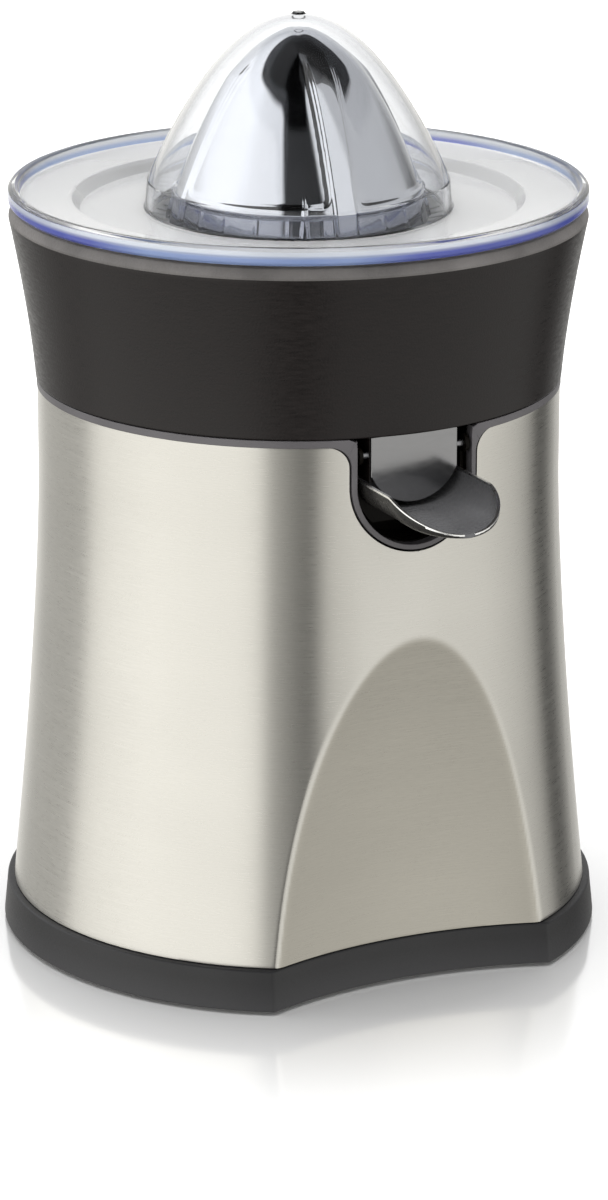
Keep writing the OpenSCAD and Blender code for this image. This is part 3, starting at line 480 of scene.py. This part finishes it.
def base_outline(inset, corner):
    """Footprint drawn in by inset: a long arc round the back, the concave front, and rounded corners."""
    outer, notch = BASE_R - inset, NOTCH_R + inset
    reach, away = outer - corner, notch + corner
    y = (away ** 2 - reach ** 2 - NOTCH_Y ** 2) / (2 * NOTCH_Y)
    x = math.sqrt(reach ** 2 - y ** 2)
    out_angle = math.atan2(y, x)
    notch_angle = math.atan2(y + NOTCH_Y, x)
    points = [(outer * math.cos(a), outer * math.sin(a)) for a in steps(out_angle, math.pi - out_angle, 150)]
    side = []
    for a in steps(0, 1, 8):
        turn = out_angle + a * (notch_angle - math.pi - out_angle)
        side.append((x + corner * math.cos(turn), y + corner * math.sin(turn)))
    points += [(-px, py) for px, py in side[1:]]
    points += [(notch * math.cos(a), notch * math.sin(a) - NOTCH_Y)
               for a in steps(math.pi - notch_angle, notch_angle, 60)][1:-1]
    points += list(reversed(side))[:-1]
    return points


def make_base():
    """The skirt under the steel: a swept wall with a ledge and the rim that locates the sheet."""
    taper = BASE_TAPER / (BASE_TOP - 1)
    profile = fillet([
        (0.0, 1.0, 0.5), (taper * (BASE_TOP - 1), BASE_TOP, 0.7), (5.0, BASE_TOP, 0.2), (5.0, 16.0, 0.3),
        (6.8, 16.0, 0.3), (6.8, BASE_TOP, 0.2), (13.0, BASE_TOP, 0.2), (13.0, 10.6, 0.2), (3.6, 10.6, 0.3),
        (3.6, 1.0, 0.3)], 3)
    rows = [base_outline(inset, 1.6 + 0.1 * inset) for inset, _ in profile]
    verts = [(x, y, z) for (_, z), row in zip(profile, rows) for x, y in row]
    skirt = finish_mesh("base_skirt_piece", verts,
                        grid_faces(len(rows), len(rows[0]), wrap_rows=True, wrap_cols=True))
    low, high = span("cord_gland")
    slot = box_mesh("slot", (-4, 60, -1), (4, high[1] + 4, 11.6))
    cut(skirt, slot)
    soften(skirt, 0.12, 40)
    place(skirt, "root", "base_plastic", "base_skirt")


# ---- Steel body ---------------------------------------------------------------------------------

def body_radius(z):
    if z > FLARE_TOP:
        return BODY_R
    return BODY_R + FLARE_OUT * ((FLARE_TOP - z) / (FLARE_TOP - FLARE_FOOT)) ** 1.5


def recess_reach(turn, z):
    """Distance from the axis to the recess, turn radians from the front. It is large where there is none."""
    mid = ARCH_FOOT + ARCH_LEAN * (max(0, z - ARCH_Z0) / (ARCH_TOP - ARCH_Z0)) ** 2
    radius = ARCH_AXIS - mid
    if z > ARCH_TOP + 9 or math.cos(turn) < 0 or ARCH_AXIS * abs(math.sin(turn)) > radius * 0.999:
        return 200.0
    return ARCH_AXIS * math.cos(turn) - math.sqrt(radius ** 2 - (ARCH_AXIS * math.sin(turn)) ** 2)


def steel_radius(turn, z, soft=1.5):
    """The lesser of body and recess, blended over soft millimetres on each side of their edge."""
    def gap(t, h):
        return body_radius(h) - recess_reach(t, h)
    plain, reach = body_radius(z), recess_reach(turn, z)
    if reach > plain + 12:
        return plain
    d = 0.01
    slope = math.hypot((gap(turn + d / plain, z) - gap(turn, z)) / d, (gap(turn, z + d) - gap(turn, z)) / d)
    k = soft * min(slope, 1.6)
    h = max(k - abs(plain - reach), 0)
    return min(plain, reach) - h * h / (4 * k)


def opening(half, flare, top):
    """Front outline of the spout opening up to top: a round foot, straight sides and flared upper corners."""
    corner = STEEL_Z1 - flare
    side = [(half * math.cos(a), SPOUT_ZC + half * math.sin(a)) for a in steps(-math.pi / 2, 0, 32)]
    side += [(half + flare * (1 - math.cos(a)), corner + flare * math.sin(a))
             for a in steps(0, math.radians(82), 12)]
    side.append((side[-1][0], top))
    return side + [(-x, z) for x, z in reversed(side)][:-1]


def prism(name, outline, near, back, **kw):
    """A front outline of (x, z) carried from y = near to y = back."""
    n = len(outline)
    verts = [(x, near, z) for x, z in outline] + [(x, back, z) for x, z in outline]
    faces = [tuple(range(n)), tuple(reversed(range(n, 2 * n)))]
    faces += [(i, i + n, (i + 1) % n + n, (i + 1) % n) for i in range(n)]
    return finish_mesh(name, verts, faces, **kw)


def make_steel():
    """Flared sheet with the arched recess, open at the spout."""
    front = 50.0
    turns = steps(-front, front, 230)[:-1] + steps(front, 360 - front, 100)[:-1]
    levels = steps(STEEL_Z0, STEEL_Z1, 190)
    points, inside = [], []
    for z in levels:
        for t in turns:
            a = math.radians(t if t < 180 else t - 360)
            r = steel_radius(a, z)
            points.append([r * math.sin(a), -r * math.cos(a), z])
            inside.append(smoothstep(0.5 + (body_radius(z) - recess_reach(a, z)) / 0.8))
    shell = finish_mesh("steel_shell_piece", points, grid_faces(len(levels), len(turns), wrap_cols=True))
    # The recess weight tells the steel material where to paint shade.
    weights = shell.data.attributes.new("recess", "FLOAT", "POINT")
    weights.data.foreach_set("value", inside)
    solid = shell.modifiers.new("sheet", "SOLIDIFY")
    solid.thickness = SHEET * MM
    solid.offset = -1
    solid.use_even_offset = False
    apply_modifiers(shell)
    cut(shell, prism("spout_cut", opening(SPOUT_HALF, SPOUT_FLARE, STEEL_Z1 + 9), -95, -40))
    soften(shell, 0.14, 60)
    place(shell, "root", "steel_sheet", "steel_shell")


def make_trim():
    """Grey strip that edges the opening and runs on round the body as a ring under the bowl."""
    half, outer, flare, top, low = TRIM_HALF, SPOUT_HALF - 0.6, 6.0, 160.3, STEEL_Z1 - 0.1
    corner, soft, bend = STEEL_Z1 - flare, 0.9, math.radians(38)
    pairs = []
    for a in steps(90, 0, 12):
        a = math.radians(a)
        x, z = outer + flare * (1 - math.cos(a)), corner + flare * math.sin(a)
        if a > bend:
            near = (max(half + soft, half + (x - outer) * 1.25), top)
        else:
            near = (half, corner + (top - soft - corner) * a / bend)
        pairs.append((near, (x, min(z, low))))
    pairs.insert(8, ((half + soft * 0.29, top - soft * 0.29), pairs[7][1]))
    pairs += [((half, z), (outer, z)) for z in steps(corner, SPOUT_ZC, 4)[1:]]
    for a in steps(0, math.pi / 2, 30)[1:]:
        c, d = math.cos(a), math.sin(a)
        pairs.append(((half * c, SPOUT_ZC - half * d), (outer * c, SPOUT_ZC - outer * d)))
    pairs += [((-a, b), (-c, d)) for (a, b), (c, d) in reversed(pairs[:-1])]
    out_r, in_r = 73.55, 70.3
    verts = []
    for (a, b), (c, d) in pairs:
        verts += [(a, -math.sqrt(out_r ** 2 - a * a), b), (c, -math.sqrt(out_r ** 2 - c * c), d),
                  (c, -math.sqrt(in_r ** 2 - c * c), d), (a, -math.sqrt(in_r ** 2 - a * a), b)]
    reach = math.degrees(math.asin((outer + flare) / out_r)) + 0.6
    ring_r = 73.4
    for t in steps(-reach, reach - 360, 170):
        s, c = math.sin(math.radians(t)), math.cos(math.radians(t))
        verts += [(ring_r * s, -ring_r * c, top), (ring_r * s, -ring_r * c, low),
                  (in_r * s, -in_r * c, low), (in_r * s, -in_r * c, top)]
    count = len(verts) // 4
    trim = finish_mesh("spout_trim_piece", verts, grid_faces(count, 4, wrap_rows=True, wrap_cols=True))
    soften(trim, 0.3, 40, 3)
    place(trim, "root", "trim_plastic", "spout_trim")


# ---- Juice collector ----------------------------------------------------------------------------

def bowl_radius(z):
    return BODY_R + 0.2 + BOWL_FLARE * (max(0, min(z, 206) - 157) / 53) ** 1.4


def make_collector():
    """Black bowl with its chimney, locating ring and outlet duct."""
    z0, floor = 160.5, 163.0
    outer = [(bowl_radius(z), z, 0) for z in steps(z0, 206, 46)][1:]
    inner = [(bowl_radius(z) - BOWL_WALL, z, 0) for z in steps(201.4, floor + 5, 30)][1:]
    lip = bowl_radius(206)
    outline = fillet(
        [(bowl_radius(z0), z0, 0.5)] + outer
        + [(lip - 0.1, 206.6, 0.3), (lip - 1.1, BOWL_Z1 - 0.5, 0.5), (lip - 1.9, BOWL_Z1, 0.4),
           (77.9, BOWL_Z1, 0.4), (77.9, 204.6, 0.3), (76.9, 203.6, 0.3), (73.4, 203.6, 0.4),
           (73.4, 201.4, 0.3)] + inner
        + [(67.5, floor, 3.0), (11.2, floor, 1.5), (11.2, 196, 0.4), (9.2, 196, 0.4), (9.2, z0, 0.4)], 4)
    bowl = lathe("bowl", outline, 220)
    cut(bowl, box_mesh("hole", (-11.6, -69.6, 150), (11.6, -63.4, 164.5)))
    ring_gap = math.degrees(math.asin(21.5 / 68.5))
    ring = lathe("ring", fillet([(67.4, 156, 0.2), (69.7, 156, 0.2), (69.7, 161, 0), (67.4, 161, 0)], 2),
                 150, arc=(-90 + ring_gap, 270 - ring_gap))
    duct = box_mesh("duct", (-13.2, -70.2, 147.5), (13.2, -61.8, 161.5))
    cut(duct, box_mesh("bore", (-11.6, -69.6, 140), (11.6, -63.4, 170)))
    whole = join("juice_collector_piece", bowl, ring, duct)
    soften(whole, 0.25, 55)
    place(whole, "collector", "collar_plastic", "juice_collector", more=["lip_plastic"],
          pick=lambda c, n: int(c.z > 206.2 and math.hypot(c.x, c.y) > 78))


def make_tongue():
    """Polished plate over the outlet, round at the bottom."""
    half, radius, zc = TONGUE_HIGH[0], 14.2, 155.1
    side = math.acos(half / radius)
    outline = [(radius * math.cos(a), zc + radius * math.sin(a)) for a in steps(-side, -math.pi + side, 48)]
    outline = [(half, TONGUE_HIGH[2])] + outline + [(-half, TONGUE_HIGH[2])]
    plate = prism("outlet_tongue_piece", outline, TONGUE_LOW[1], TONGUE_HIGH[1], bevel=0.3)
    place(plate, "collector", "polished_steel", "outlet_tongue")


# ---- Spout scoop --------------------------------------------------------------------------------

SCOOP_HALF, SCOOP_TIP, SCOOP_NOSE, SCOOP_REAR = 15.4, 103.5, 87.0, 60.0
SCOOP_RIM, SCOOP_DROP, SCOOP_FLOOR, SCOOP_WALL = 148.0, 7.7, 138.6, 0.8
RIM_STEP = 0.025
SCOOP_TURNS = [math.pi] + steps(math.pi - RIM_STEP, RIM_STEP, 44) + [0.0]


def scoop_rim(y):
    return SCOOP_RIM - SCOOP_DROP * (max(0, y - 86) / (SCOOP_TIP - 86)) ** 1.2


def scoop_row(y, turn, inset):
    """One section of the scoop from rim to rim, pushed in by inset."""
    nose = SCOOP_TIP - SCOOP_NOSE
    outer = y + nose * math.sin(turn)
    inner = y + (nose - (inset if turn > 0 else 0)) * math.sin(turn)
    wide = (SCOOP_HALF - inset) * math.cos(turn)
    rim = scoop_rim(outer)
    lift = (max(0, outer - 90) / (SCOOP_TIP - 90)) ** 3 * (SCOOP_RIM - SCOOP_DROP - SCOOP_FLOOR - 1)
    floor = SCOOP_FLOOR + inset + lift
    row = []
    for a in SCOOP_TURNS:
        c, s = math.cos(a), max(0.0, math.sin(a))
        row.append((wide * math.copysign(abs(c) ** 0.75, c), -inner, rim - (rim - floor) * s ** 0.75))
    return row


def make_scoop():
    """Polished trough that tips the stream off. Its faces are painted: grey inside, with painted shade on the
    faces turned sideways and down and a painted highlight along the rim.
    """
    count = len(SCOOP_TURNS) - 1
    places = [(y, 0.0) for y in steps(SCOOP_REAR, SCOOP_NOSE, 18)[:-1]]
    places += [(SCOOP_NOSE, math.radians(a)) for a in steps(0, 84, 28)]
    outer = [p for y, t in places for p in scoop_row(y, t, 0)]
    inner = [p for y, t in places for p in scoop_row(y, t, SCOOP_WALL)]
    rows, n = len(places), count + 1
    base = rows * n
    faces = [tuple(reversed(f)) for f in grid_faces(rows, n)]
    faces += [tuple(i + base for i in reversed(f)) for f in faces]
    for i in range(rows - 1):
        a, b = i * n, (i + 1) * n
        faces += [(a, b, b + base, a + base), (a + count, a + count + base, b + count + base, b + count)]
    last = (rows - 1) * n
    for k in range(count):
        faces += [(last + k, last + k + 1, last + k + 1 + base, last + k + base),
                  (k, k + base, k + 1 + base, k + 1)]
    trough = finish_mesh("trough", outer + inner, faces)
    back = [(x, z) for x, _, z in scoop_row(SCOOP_REAR, 0, 0)]
    m = len(back)
    verts = [(x, -SCOOP_REAR, z) for x, z in back] + [(x, -SCOOP_REAR - SCOOP_WALL, z) for x, z in back]
    sides = [(i, (i + 1) % m, (i + 1) % m + m, i + m) for i in range(m)]
    plate = finish_mesh("plate", verts, [tuple(reversed(range(m))), tuple(range(m, 2 * m))] + sides)
    scoop = join("spout_scoop_piece", trough, plate)

    def zone(c, n):
        # Index 3 is a painted highlight along the rim, index 2 painted shade on faces turned sideways and
        # down, index 1 the grey inside.
        if c.z > scoop_rim(-c.y) - 0.45 and c.y < -SCOOP_REAR - 1:
            return 3
        return 2 if n.z < 0.03 and abs(c.x) > 3 or n.z < -0.3 else 1

    soften(scoop, 0.2, 50)
    place(scoop, "spout", "polished_steel", "spout_scoop",
          more=["scoop_grey", "scoop_outside_shade", "scoop_rim_highlight"], pick=zone)


# ---- Pressing cone ------------------------------------------------------------------------------

def cone_radius(z):
    if z < BAND_TOP:
        return CONE_WAIST + (CONE_FOOT - CONE_WAIST) * (BAND_TOP - z) / (BAND_TOP - CONE_Z0)
    return (CONE_WAIST * math.sqrt((CONE_PEAK - z) / (CONE_PEAK - BAND_TOP))
            - 1.9 * (max(0, z - 244) / 14) ** 2)


def cone_skin(turn, z):
    """Radius of the cone, turn degrees from the front: sunk panels between ribs over a fluted band."""
    base = cone_radius(z)
    pitch = 360 / RIBS
    off = (turn - RIB_TURN + pitch / 2) % pitch - pitch / 2
    across = base * math.sin(math.radians(off))
    rib = smoothstep((RIB_HALF + 0.35 - abs(across)) / 0.7)
    fade = min(1.0, max(0.0, (251.5 - z) / 6))
    below = z - BAND_TOP
    corner = 3.0
    edge_x, edge_z = corner - (abs(across) - RIB_HALF - 0.6), corner - (below - 0.9)
    border = corner - math.hypot(max(0, edge_x), max(0, edge_z)) if edge_x > 0 and edge_z > 0 \
        else min(corner - edge_x, corner - edge_z)
    sunk = smoothstep(border / 0.5)
    line = smoothstep((border - 0.9) / 0.35)
    radius = base + RIB_RISE * rib * fade
    if z >= BAND_TOP - 1:
        radius += (0.55 - 0.4 * sunk - 0.15 * line) * fade * (1 - rib)
    if z < BAND_TOP + 1:
        flute = base * math.sin(math.radians((turn + 7.5) % 15 - 7.5))
        rise = smoothstep((BAND_TOP - 0.6 - z) / 1.5) * (1 - rib)
        radius += 0.22 * rise * smoothstep((0.9 - abs(flute)) / 0.8)
    fin_off = (turn - RIB_TURN + 18.8 + pitch / 2) % pitch - pitch / 2
    fin_across = base * math.sin(math.radians(fin_off))
    fin_half = 1.1 * max(0.0, (218.5 - z) / 13)
    if fin_half > 0:
        radius += 1.0 * smoothstep((fin_half + 0.15 - abs(fin_across)) / 0.3) * min(1.0, fin_half)
    return radius


def make_cone():
    """Chromed cone, hollow below, with painted shade on its fluted lower band."""
    cols = 600
    levels = [CONE_Z0 + 0.3] + steps(CONE_Z0 + 0.6, BAND_TOP - 0.6, 10)
    levels += steps(BAND_TOP - 0.3, BAND_TOP + 5, 18)
    levels += steps(BAND_TOP + 6, 251, 42) + steps(251.6, CONE_TOP - 0.15, 14)
    rings = [[(cone_skin(360 * i / cols, z), z) for i in range(cols)] for z in levels]
    wall = 1.8
    inside = [(max(0.4, cone_radius(z) - wall), z) for z in steps(CONE_TOP - wall - 1.2, CONE_Z0, 26)]
    verts = []
    for ring in [[(r - 0.35, CONE_Z0) for r, _ in rings[0]]] + rings:
        verts += ring_points(ring, cols)
    faces = grid_faces(len(rings) + 1, cols, wrap_cols=True)
    tip = len(verts)
    verts.append((0, 0, CONE_TOP))
    top = len(rings) * cols
    faces += [(top + i, top + (i + 1) % cols, tip) for i in range(cols)]
    first = len(verts)
    for r, z in inside:
        verts += ring_points([(r, z)] * cols, cols)
    faces += [tuple(i + first for i in f) for f in grid_faces(len(inside), cols, wrap_cols=True)]
    peak = len(verts)
    verts.append((0, 0, inside[0][1] + 0.2))
    faces += [(first + (i + 1) % cols, first + i, peak) for i in range(cols)]
    low = first + (len(inside) - 1) * cols
    faces += [(low + i, low + (i + 1) % cols, (i + 1) % cols, i) for i in range(cols)]
    cone = finish_mesh("press_cone_piece", verts, faces)
    # The fluted band below BAND_TOP takes the darker chrome as painted shade.
    place(cone, "cone", "cone_chrome", "press_cone", more=["cone_band_shade"],
          pick=lambda c, n: int(c.z < BAND_TOP - 0.5))


def ring_points(ring, cols):
    """Points of a ring of (radius, z), starting at the front."""
    return [(r * math.sin(math.tau * i / cols), -r * math.cos(math.tau * i / cols), z)
            for i, (r, z) in enumerate(ring)]


# ---- Cover --------------------------------------------------------------------------------------

def make_cover():
    """Clear lid: dome, brim with a step, and a thick rim whose edge has a blue tint with a painted glow."""
    def dome(top, k, z):
        return k * math.sqrt(max(0, top - z))

    inner_top = DOME_TOP - DOME_WALL
    outer_levels = steps(219, 255, 40) + steps(255.4, DOME_TOP - 0.02, 22)
    inner_levels = steps(219, 253, 40) + steps(253.4, inner_top - 0.02, 22)
    outside = [(dome(DOME_TOP, DOME_K, z), z, 0) for z in outer_levels]
    inside = [(dome(inner_top, DOME_K_INSIDE, z), z, 0) for z in inner_levels]
    nib = [(1.9, DOME_TOP - 0.1, 0.3), (1.6, DOME_TOP + 0.5, 0.3)]
    brim = [(42.0, 215.6, 1.5), (42.7, 207.6, 1.0), (60.5, 207.6, 0.8), (63.0, 211.0, 0.8),
            (77.4, 211.6, 0.5), (77.8, 214.2, 0.4), (78.6, 214.6, 0.4), (79.7, 214.6, 0.6),
            (80.5, 213.8, 0.4), (80.5, 210.6, 0.4), (79.7, 209.7, 0.4), (77.3, 209.7, 0.2),
            (77.2, 206.8, 0.4), (75.8, 206.8, 0.4), (75.6, 209.8, 0.3),
            (64.0, 209.4, 0.8), (61.4, 206.0, 0.6), (40.9, 206.0, 0.8), (40.2, 215.2, 1.5)]
    top = [p for p in outside if p[0] > 2.2]
    line = [(0, DOME_TOP + 0.5, 0)] + list(reversed(nib)) + list(reversed(top)) + brim + inside
    cover = dish("dust_cover_piece", fillet(line + [(0, inner_top, 0)], 4), 240)

    def zone(c, n):
        r = math.hypot(c.x, c.y)
        # Index 2 takes the rim's edge, with its painted glow and highlight.
        return 2 if r > 79.9 and c.z < 212.9 else int(43 < r < 77.3 and c.z < 213)

    place(cover, "cover", "clear_plastic", "dust_cover", more=["clear_plate", "rim_tint_and_painted_glow"], pick=zone)


make_base()
make_steel()
make_trim()
make_collector()
make_tongue()
make_scoop()
make_cone()
make_cover()


# ---- Floor, light and camera --------------------------------------------------------------------

VIEW_TURN, VIEW_TILT = math.radians(26), math.radians(17.37)
SHEEN_NEAR, SHEEN_FAR, SHEEN = 0.085, 0.2, 0.55


def make_floor():
    """Pale floor with a faint soft reflection."""
    size = 6000
    floor = finish_mesh("floor", [(-size, -size, 0), (size, -size, 0), (size, size, 0), (-size, size, 0)],
                        [(0, 1, 2, 3)])
    material = bpy.data.materials.new("floor")
    material.use_nodes = True
    tree = material.node_tree
    tree.nodes.clear()
    pale = node(tree, "BsdfDiffuse", {"Color": (0.9, 0.9, 0.9, 1)})
    gloss = node(tree, "BsdfGlossy", {"Color": (0.95, 0.95, 0.95, 1), "Roughness": 0.13})
    away = node(tree, "VectorMath", {0: coords(tree, (1, 1, 0))}, operation="LENGTH").outputs["Value"]
    sheen = node(tree, "MapRange", {"Value": away, "From Min": SHEEN_NEAR, "From Max": SHEEN_FAR,
                                    "To Min": SHEEN, "To Max": 0.0}).outputs["Result"]
    far = node(tree, "MapRange", {"Value": away, "From Min": 0.1, "From Max": 1.2, "To Min": 0.0,
                                  "To Max": 0.6}).outputs["Result"]
    glow = node(tree, "Emission", {"Color": (1, 1, 1, 1), "Strength": far})
    pale = node(tree, "AddShader", {0: pale.outputs[0], 1: glow.outputs[0]})
    mixed = node(tree, "MixShader", {0: sheen, 1: pale.outputs[0], 2: gloss.outputs[0]})
    hidden = node(tree, "BsdfTransparent")
    seen = node(tree, "LightPath").outputs["Is Camera Ray"]
    shown = node(tree, "MixShader", {0: seen, 1: hidden.outputs[0], 2: mixed.outputs[0]})
    node(tree, "OutputMaterial", {"Surface": shown.outputs[0]})
    floor.data.materials.append(material)


WARM = (1.0, 0.99, 0.955)


def ramp(tree, fac, stops, whole, colour=(1, 1, 1)):
    """A colour ramp of (angle, brightness) stops over whole degrees, with zero in the middle."""
    made = node(tree, "ValToRGB", {"Fac": fac})
    band = made.color_ramp
    while len(band.elements) < len(stops):
        band.elements.new(0.5)
    for element, (angle, value) in zip(band.elements, stops):
        element.position = 0.5 + angle / whole
        element.color = (*[value * c for c in colour], 1)
    return made.outputs["Color"]


def make_light():
    """A studio as a surround: two broad soft boxes, a dark gap between them, dark flags and a pale wall."""
    world = bpy.data.worlds.new("studio")
    scene.world = world
    world.use_nodes = True
    tree = world.node_tree
    tree.nodes.clear()
    where = node(tree, "TexCoord").outputs["Generated"]
    turned = node(tree, "VectorRotate", {"Vector": where, "Angle": VIEW_TURN + math.pi / 2},
                  rotation_type="Z_AXIS").outputs["Vector"]
    part = node(tree, "SeparateXYZ", {0: turned})
    angle = node(tree, "Math", {0: part.outputs["Y"], 1: part.outputs["X"]}, operation="ARCTAN2")
    share = node(tree, "MapRange", {"Value": angle.outputs[0], "From Min": -math.pi, "From Max": math.pi})
    low_light = ramp(tree, share.outputs["Result"], [
        (-180, 0.92), (-160, 0.6), (-146, 0.37), (-118, 0.33), (-107, 0.36), (-101, 0.72), (-90, 0.83),
        (-66, 0.96), (-26, 0.96), (-16, 0.90), (-12.5, 0.42), (-6, 0.34), (3, 0.14), (7.5, 0.12),
        (10.5, 0.58), (16, 0.70), (60, 0.70), (88, 0.64), (110, 0.48), (121, 0.34), (127, 0.03), (139, 0.05),
        (150, 0.33), (162, 0.5), (180, 0.92)], 360, WARM)
    height = node(tree, "Math", {0: part.outputs["Z"]}, operation="ARCSINE").outputs[0]
    lean = node(tree, "MapRange", {"Value": height, "From Min": 0.5, "From Max": 1.2, "To Min": 0.0,
                                   "To Max": 0.06}).outputs["Result"]
    leaning = node(tree, "Math", {0: share.outputs["Result"], 1: lean}, operation="ADD").outputs[0]
    high_light = ramp(tree, leaning, [
        (-180, 0.6), (-150, 0.62), (-141, 0.75), (-127, 0.88), (-100, 1.0), (-67, 1.0), (-50, 0.86),
        (-17, 0.78), (-13, 0.04), (23, 0.03), (26, 0.66), (54, 0.69), (60, 0.45), (142, 0.44),
        (160, 0.6), (180, 0.6)], 360)
    top_edge = ramp(tree, share.outputs["Result"], [
        (-180, 0.7), (-130, 0.56), (-90, 0.51), (-30, 0.51), (-14, 0.45), (12, 0.45), (18, 0.85),
        (34, 0.85), (44, 0.68), (64, 0.68),
        (68, 0.42), (110, 0.35), (125, 0.36), (140, 0.5), (180, 0.7)], 360)
    rise = node(tree, "MapRange", {"Value": height, "From Min": -math.pi / 2, "From Max": math.pi / 2})
    foot_light = ramp(tree, rise.outputs["Result"], [
        (-90, 0.25), (-50, 0.35), (-37, 0.62), (-28, 0.95), (-22, 1.0), (90, 1.0)], 180)
    foot_share = ramp(tree, share.outputs["Result"], [
        (-180, 0.0), (-150, 0.0), (-125, 1.0), (-10, 1.0), (15, 0.7), (120, 0.7), (150, 0.0),
        (180, 0.0)], 360)
    foot = node(tree, "Mix", {"Factor": foot_share, "A": (1, 1, 1, 1), "B": foot_light}, data_type="RGBA")
    share_up = node(tree, "Math", {0: height, 1: 2 / math.pi}, operation="MULTIPLY").outputs[0]
    over = node(tree, "Math", {0: share_up, 1: top_edge}, operation="SUBTRACT").outputs[0]
    dark_top = ramp(tree, share.outputs["Result"], [
        (-180, 0.03), (12, 0.03), (22, 0.22), (70, 0.22), (90, 0.03)], 360)
    open_sky = node(tree, "MapRange", {"Value": over, "From Min": 0.0, "From Max": 0.03, "To Min": 1.0,
                                       "To Max": dark_top}).outputs["Result"]
    upper = node(tree, "MapRange", {"Value": height, "From Min": 0.0, "From Max": 0.25}).outputs["Result"]
    level = node(tree, "Mix", {"Factor": upper, "A": low_light, "B": high_light}, data_type="RGBA")
    limit = node(tree, "Mix", {"Factor": 1.0, "A": foot.outputs["Result"], "B": open_sky}, data_type="RGBA",
                 blend_type="MULTIPLY")
    both = node(tree, "Mix", {"Factor": 1.0, "A": level.outputs["Result"], "B": limit.outputs["Result"]},
                data_type="RGBA", blend_type="MULTIPLY")
    seen = node(tree, "LightPath").outputs["Is Camera Ray"]
    shown = node(tree, "Mix", {"Factor": seen, "A": both.outputs["Result"], "B": (0.7, 0.7, 0.7, 1)},
                 data_type="RGBA")
    back = node(tree, "Background", {"Color": shown.outputs["Result"], "Strength": 1.5})
    node(tree, "OutputWorld", {"Surface": back.outputs[0]})


def make_top_light():
    """A broad ceiling light that fills the floor and the matt parts."""
    lamp = bpy.data.lights.new("ceiling", "AREA")
    lamp.shape = "DISK"
    lamp.size = 2.2
    lamp.energy = 36
    obj = bpy.data.objects.new("ceiling", lamp)
    obj.location = (0, 0, 1.4)
    obj.visible_glossy = False
    obj.visible_transmission = False
    scene.collection.objects.link(obj)


def make_camera():
    """The view of the photograph: from the left of the spout, a little above."""
    camera = bpy.data.cameras.new("camera")
    camera.sensor_width = 36.0
    camera.lens = 154.9
    camera.shift_x = 0.0045
    obj = bpy.data.objects.new("camera", camera)
    scene.collection.objects.link(obj)
    away = 1.4
    obj.location = (-away * math.sin(VIEW_TURN), -away * math.cos(VIEW_TURN), 0.531)
    obj.rotation_euler = (math.pi / 2 - VIEW_TILT, 0, -VIEW_TURN)
    scene.camera = obj


make_floor()
make_light()
make_top_light()
make_camera()
scene.view_settings.view_transform = "Standard"
